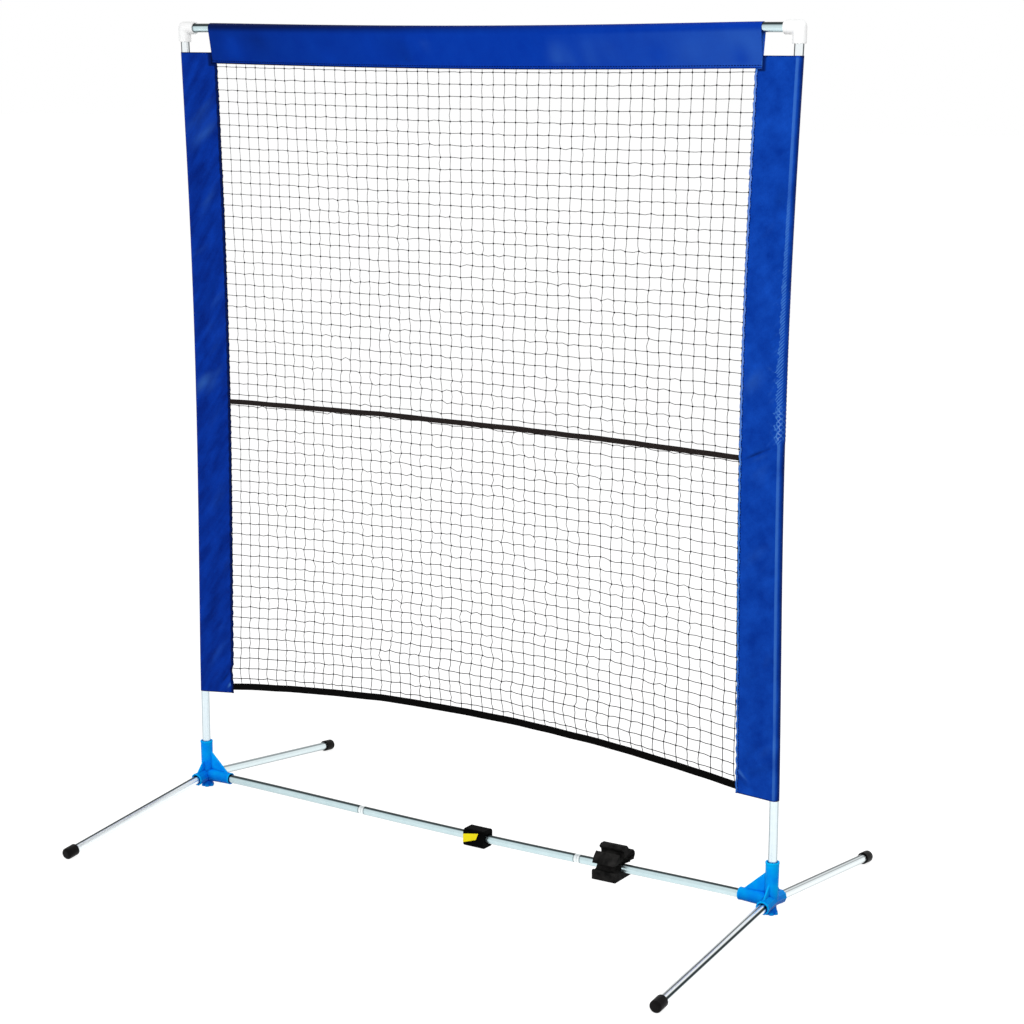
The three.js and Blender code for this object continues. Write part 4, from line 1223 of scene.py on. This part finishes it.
def make_net():
    """The net's cords and knots on a grid of points, two to a square each way."""
    r = np.random.default_rng(3)
    fine = 2
    across, rise = np.meshgrid(np.linspace(-1, 1, COLUMNS * fine + 1), np.linspace(0, 1, ROWS * fine + 1))
    x, z = net_point(across, rise)
    inside = (1 - across**2) ** 0.25 * np.sin(np.pi * np.clip(rise, 0.0, 1)) ** 0.25
    lower = STRAY + LOW_STRAY * (1 - rise)
    soft_x = r.normal(0, 1, x.shape) * lower * inside
    soft_z = r.normal(0, 1, x.shape) * lower * inside
    wave = WAVE * np.sin(across * 9 + rise * 5) * np.sin(rise * 12 + 2) * inside
    wave += RIPPLE * np.sin(rise * 75 + across * 4) * np.exp(-rise / 0.12) * inside
    wave -= LOW_PULL * (rise / 0.04) * np.exp(1 - rise / 0.04)
    y = r.normal(0, DEEP_STRAY, x.shape)
    grid = np.stack([x + soft_x + wave, y, z + soft_z], axis=-1)
    thick = (TWINE_RADIUS * (0.92 + 0.6 * (1 - rise) ** 2))[..., None]
    points, faces = joined([
        cords(grid[:, ::fine].transpose(1, 0, 2), thick[:, ::fine].transpose(1, 0, 2)),
        cords(grid[::fine], thick[::fine]),
        knots(grid[::fine, ::fine]),
    ])
    mesh = mesh_of("net_mesh", points, faces, sharp=180)
    piece(mesh, TWINE, "upper_frame", "net")


TAPE_WAVER = 0.0012
MIDDLE_TAPE_RISE = 0.0024


def tape(name, section, rise, node, material):
    """A tape's section of (back, up) points carried along the net's line at a rise."""
    section = np.array(section, float)
    x, z = net_point(np.linspace(-1, 1, 180), rise)
    r = np.random.default_rng(5)
    waver = np.convolve(r.normal(0, TAPE_WAVER, len(x)), np.hanning(15), "same") / 7
    rings = np.broadcast_arrays(x[:, None], section[:, 0], (z + waver)[:, None] + section[:, 1])
    points, faces = prism(np.stack(rings, axis=-1))
    sides = facing_out(points, np.array(faces[:-2])).tolist()
    uv = np.stack(np.broadcast_arrays(lengths_along(section)[None, :], (x - x[0])[:, None]), axis=-1)
    mesh = mesh_of(name, points, sides + faces[-2:], uv, outward=True)
    strip = piece(mesh, material, "upper_frame", node)


def make_tapes():
    """The middle tape is a strip before the net, thickest along its middle. The bottom one is folded
    round the net's edge."""
    share = ((MIDDLE_TAPE_LOW.z + MIDDLE_TAPE_RISE) - NET_BASE) / (NET_TOP - NET_BASE)
    half, front, crown, back, dip = 0.0055, -0.0021, -0.0024, -0.0007, -0.0005
    strip = [(front, -half), (crown, 0), (front, half), (back, half), (dip, 0), (back, -half)]
    tape("middle_tape_strip", strip, share, "middle_tape",
         MIDDLE_WEBBING)
    face, inner, foot, corner, top = 0.0021, 0.0013, 0.0012, 0.001, 0.0129
    outside = [(-face, corner - face), (-foot, -face), (foot, -face), (face, corner - face), (face, top)]
    inside = [(inner, top), (inner, -inner), (-inner, -inner), (-inner, top), (-face, top)]
    tape("bottom_tape_fold", outside + inside, 0.0, "bottom_tape",
         BOTTOM_WEBBING)


# Clips


CLIP_GAP = 0.0004
CLIP_BORE = TUBE_RADIUS + CLIP_GAP
CLIP_EDGE = 0.0008
CLIP_END_EDGE = 0.0005
TILT_REACH = 0.028
SMALL_CLIP_PLACE = 0.028
SMALL_CLIP_HALF = 0.02
SMALL_CLIP_CORNER = 0.008
SMALL_CLIP_MOUTH = 0.0115
SMALL_CLIP_THROAT = 0.007
CLIP_PLACES = (SMALL_CLIP_PLACE, 0.371)
CLIP_LENGTHS = (0.052, 0.058)
REAR_WALL = 0.004


def along_bar(points, place):
    """Points about the origin moved onto the crossbar at a place, tilted to lie along it."""
    reach = TILT_REACH
    tilt = math.atan2(sag(place - reach) - sag(place + reach), 2 * reach)
    turn = np.array(Matrix.Rotation(-tilt, 3, "Y"))
    return points @ turn.T + [place, 0, HUB_HEIGHT - float(sag(place))]


def extrusion(outline, length):
    """A closed (back, up) outline made into a bar along X whose ends are drawn in by an edge."""
    outline = np.array(outline, float)
    before, after = np.roll(outline, 1, axis=0), np.roll(outline, -1, axis=0)
    ahead = after - before
    ahead /= np.maximum(np.linalg.norm(ahead, axis=1, keepdims=True), TINY)
    inward = np.stack([-ahead[:, 1], ahead[:, 0]], axis=1)
    half, edge = length / 2, CLIP_END_EDGE
    rings = []
    for x, inset in ((-half, edge), (-half + edge, 0), (half - edge, 0), (half, edge)):
        flat = outline + inward * inset
        rings.append(np.column_stack([np.full(len(flat), x), flat]))
    return prism(rings)


def rounded(points, radius, steps=5):
    """An outline whose corners are cut by short curves, no longer than a third of each side."""
    points = np.array(points, float)
    before, after = np.roll(points, 1, axis=0), np.roll(points, -1, axis=0)
    made = []
    for p, a, b in zip(points, before, after):
        to_a, to_b = a - p, b - p
        la, lb = np.linalg.norm(to_a), np.linalg.norm(to_b)
        start = p + to_a / la * min(radius, la / 3)
        end = p + to_b / lb * min(radius, lb / 3)
        t = np.linspace(0, 1, steps)[:, None]
        made.append((1 - t) ** 2 * start + 2 * t * (1 - t) * p + t**2 * end)
    return np.concatenate(made)


CLIP_SPAN = 0.05
CHANNEL_MOUTH = 0.015
LIP_LENGTH = 0.0015
LIP_REACH = BORE_RADIUS + LIP_LENGTH
REAR_CHANNEL = (0.75, 0.32)


def channel(share, turn, radius):
    """The outline of a channel: in over one lip, back round the bore and out over the other."""
    back, height = (part * CLIP_SPAN for part in share)
    half = CHANNEL_MOUTH / 2
    opening = math.asin(half / radius)

    def lip(side):
        return (
            back + LIP_REACH * math.cos(turn) - side * half * math.sin(turn),
            height + LIP_REACH * math.sin(turn) + side * half * math.cos(turn),
        )

    bore = arc((back, height), radius, turn - opening, turn + opening - 2 * math.pi, 30)
    return [lip(-1), *bore, lip(1)]


def shares(*points):
    """Points given as shares of the large clip's span."""
    return [(back * CLIP_SPAN, height * CLIP_SPAN) for back, height in points]


def large_clip_outline():
    """A low foot with a lip, the bore for the crossbar and three open channels round it."""
    return [
        *shares((-0.68, -0.16), (-0.68, -0.5), (0.69, -0.5), (0.69, -0.45), (0.28, -0.2)),
        *channel((0, 0), 0, CLIP_BORE),
        *shares((0.38, 0.15), (0.48, 0.2)),
        *channel(REAR_CHANNEL, -0.47 * math.pi, BORE_RADIUS),
        *arc(*shares(REAR_CHANNEL), BORE_RADIUS + REAR_WALL, 0, math.pi / 3, 10),
        *shares((0.8, 0.6), (0.51, 0.72), (0.35, 0.89), (0.1, 0.9)),
        *channel((-0.08, 0.544), 0.65 * math.pi, BORE_RADIUS),
        *shares((-0.5, 0.5)),
        *channel((-0.43, 0.07), math.pi, BORE_RADIUS),
    ]


def small_clip_outline():
    """A rounded square with the bore for the crossbar, open to the back."""
    half, corner = SMALL_CLIP_HALF, SMALL_CLIP_CORNER
    straight = half - corner
    mouth = math.asin(SMALL_CLIP_THROAT / CLIP_BORE)
    outline = [(half, SMALL_CLIP_MOUTH)]
    for i, (x, y) in enumerate(((1, 1), (-1, 1), (-1, -1), (1, -1))):
        outline += arc((x * straight, y * straight), corner, i * math.pi / 2, (i + 1) * math.pi / 2, 9)
    outline.append((half, -SMALL_CLIP_MOUTH))
    return outline + arc((0, 0), CLIP_BORE, -mouth, mouth - 2 * math.pi, 36)


def make_clips():
    outlines = (small_clip_outline(), large_clip_outline())
    nodes, materials = ("small_clip", "large_clip"), (SMALL_BLACK, LARGE_BLACK)
    rows = zip(nodes, outlines, CLIP_LENGTHS, CLIP_PLACES, materials)
    for node, outline, length, place, material in rows:
        points, faces = extrusion(rounded(outline, CLIP_EDGE, 3), length)
        mesh = mesh_of(f"{node}_body", along_bar(points, place), faces, sharp=40)
        piece(mesh, material, f"{node}_unit", node)
    make_label()


# The sticker's four corners, the curve of each and how far its two faces lie over the clip
LABEL_CORNERS = ((-0.0256, -0.0115), (0.0084, 0.0), (0.0144, 0.0155), (-0.0256, 0.0085))
LABEL_ROUNDING = 0.002
LABEL_LIFTS = (0.0007, 0.0003)


def make_label():
    """The plain sticker on the small clip: a thin film with rounded corners, laid slightly turned on
    the clip's front and bent over its rounded edge."""
    outline = rounded(LABEL_CORNERS, LABEL_ROUNDING)
    height = outline[:, 1]
    straight = SMALL_CLIP_HALF - SMALL_CLIP_CORNER
    past = np.maximum(np.abs(height) - straight, 0)
    skin = -(straight + np.sqrt(SMALL_CLIP_CORNER**2 - past**2))
    points, faces = prism([np.column_stack([outline[:, 0], skin - lift, height]) for lift in LABEL_LIFTS])
    mesh = mesh_of("yellow_sticker", along_bar(points, SMALL_CLIP_PLACE), faces, outward=True)
    piece(mesh, YELLOW, "small_clip_unit", "clip_label")


# Studio


def seen_plainly(tree):
    """Is 1 for camera, glossy and transmission rays and 0 for the rays that light the object."""
    path = add_node(tree, "ShaderNodeLightPath").outputs
    either = path["Is Camera Ray"]
    for other in ("Is Glossy Ray", "Is Transmission Ray"):
        larger = add_node(tree, "ShaderNodeMath", {"operation": "MAXIMUM"}, {0: either, 1: path[other]})
        either = larger.outputs[0]
    return either


FLOOR_REACH = 40.0
FLOOR_GREY = (0.42, 0.42, 0.42, 1)
FLOOR_GLOW = 0.81
EVEN_LIGHT = 0.49


def make_floor():
    """A pale floor that camera and glossy rays see as white, darkened only by shadow."""
    mesh = bpy.data.meshes.new("floor")
    corners = [(x * FLOOR_REACH, y * FLOOR_REACH, 0) for x, y in ((-1, -1), (1, -1), (1, 1), (-1, 1))]
    mesh.from_pydata(corners, [], [(0, 1, 2, 3)])
    s = Surface("studio_floor")
    s.set(Base_Color=FLOOR_GREY, Roughness=0.9, Specular_IOR_Level=0.0)
    s.set(Emission_Color=s.mix(seen_plainly(s.tree), (0.0, 0.0, 0.0), (1.0, 1.0, 1.0)))
    s.set(Emission_Strength=FLOOR_GLOW)
    mesh.materials.append(s.material)
    new_object("floor", mesh)


def make_world():
    """White for camera, glossy and transmission rays, and a plain even light for all others."""
    world = bpy.data.worlds.new("studio")
    bpy.context.scene.world = world
    world.use_nodes = True
    tree = world.node_tree
    tree.nodes.clear()
    strength = add_node(tree, "ShaderNodeMix", {}, {0: seen_plainly(tree), 2: EVEN_LIGHT, 3: 1.0})
    inputs = {"Color": (1, 1, 1, 1), "Strength": strength.outputs[0]}
    background = add_node(tree, "ShaderNodeBackground", {}, inputs)
    add_node(tree, "ShaderNodeOutputWorld", {}, {"Surface": background.outputs[0]})


def lamp(name, place, aim, width, height, watts):
    """A soft rectangular lamp that faces a point."""
    data = bpy.data.lights.new(name, "AREA")
    data.shape = "RECTANGLE"
    data.size = width
    data.size_y = height
    data.energy = watts
    made = new_object(name, data)
    made.location = place
    made.rotation_mode = "QUATERNION"
    made.rotation_quaternion = (Vector(aim) - Vector(place)).to_track_quat("-Z", "Y")
    made.visible_glossy = False


CAMERA_PLACE = (2.6369, -3.9227, 1.765)
CAMERA_HEADING = math.radians(32.724)
CAMERA_PITCH = math.radians(13.869)
CAMERA_ROLL = math.radians(-0.188)
CAMERA_SENSOR = 36
CAMERA_LENS = 78.97
CAMERA_SHIFT = 0.0859
CAMERA_RANGE = 200


def make_camera():
    """A long lens to the right of the net and level with its top, looking down and to the left."""
    data = bpy.data.cameras.new("camera")
    data.sensor_width = CAMERA_SENSOR
    data.lens = CAMERA_LENS
    data.shift_y = CAMERA_SHIFT
    data.clip_end = CAMERA_RANGE
    camera = new_object("camera", data)
    h, p, r = CAMERA_HEADING, CAMERA_PITCH, CAMERA_ROLL
    ahead = Vector((-math.sin(h) * math.cos(p), math.cos(h) * math.cos(p), -math.sin(p)))
    level = Vector((math.cos(h), math.sin(h), 0))
    down = ahead.cross(level)
    right = level * math.cos(r) + down * math.sin(r)
    upward = level * math.sin(r) - down * math.cos(r)
    turn = Matrix((right, upward, -ahead)).transposed()
    camera.rotation_mode = "QUATERNION"
    camera.rotation_quaternion = turn.to_quaternion()
    camera.location = CAMERA_PLACE
    bpy.context.scene.camera = camera


# Each lamp's name, place, aim, width, height and watts
CENTRE = (0, 0, 0.9)
LAMPS = (
    ("key", (2.4, -3.0, 2.8), (0.4, 0, 0.8), 2.0, 2.0, 98),
    ("strip", (-2.6, -3.2, 1.2), CENTRE, 0.7, 2.2, 46),
    ("rim", (0.5, 3.6, 3.4), CENTRE, 2.6, 2.6, 40),
)


make_camera()
make_world()
make_floor()
for row in LAMPS:
    lamp(*row)
make_uprights()
make_bars()
make_legs()
make_elbows()
for (side, sign), material in zip(SIDE_SIGNS, (SHADED_LEFT_BLUE, LIT_RIGHT_BLUE)):
    make_hub(side, sign, material)
make_net()
make_tapes()
make_sleeves()
make_clips()
bpy.context.scene.view_settings.view_transform = "Standard"
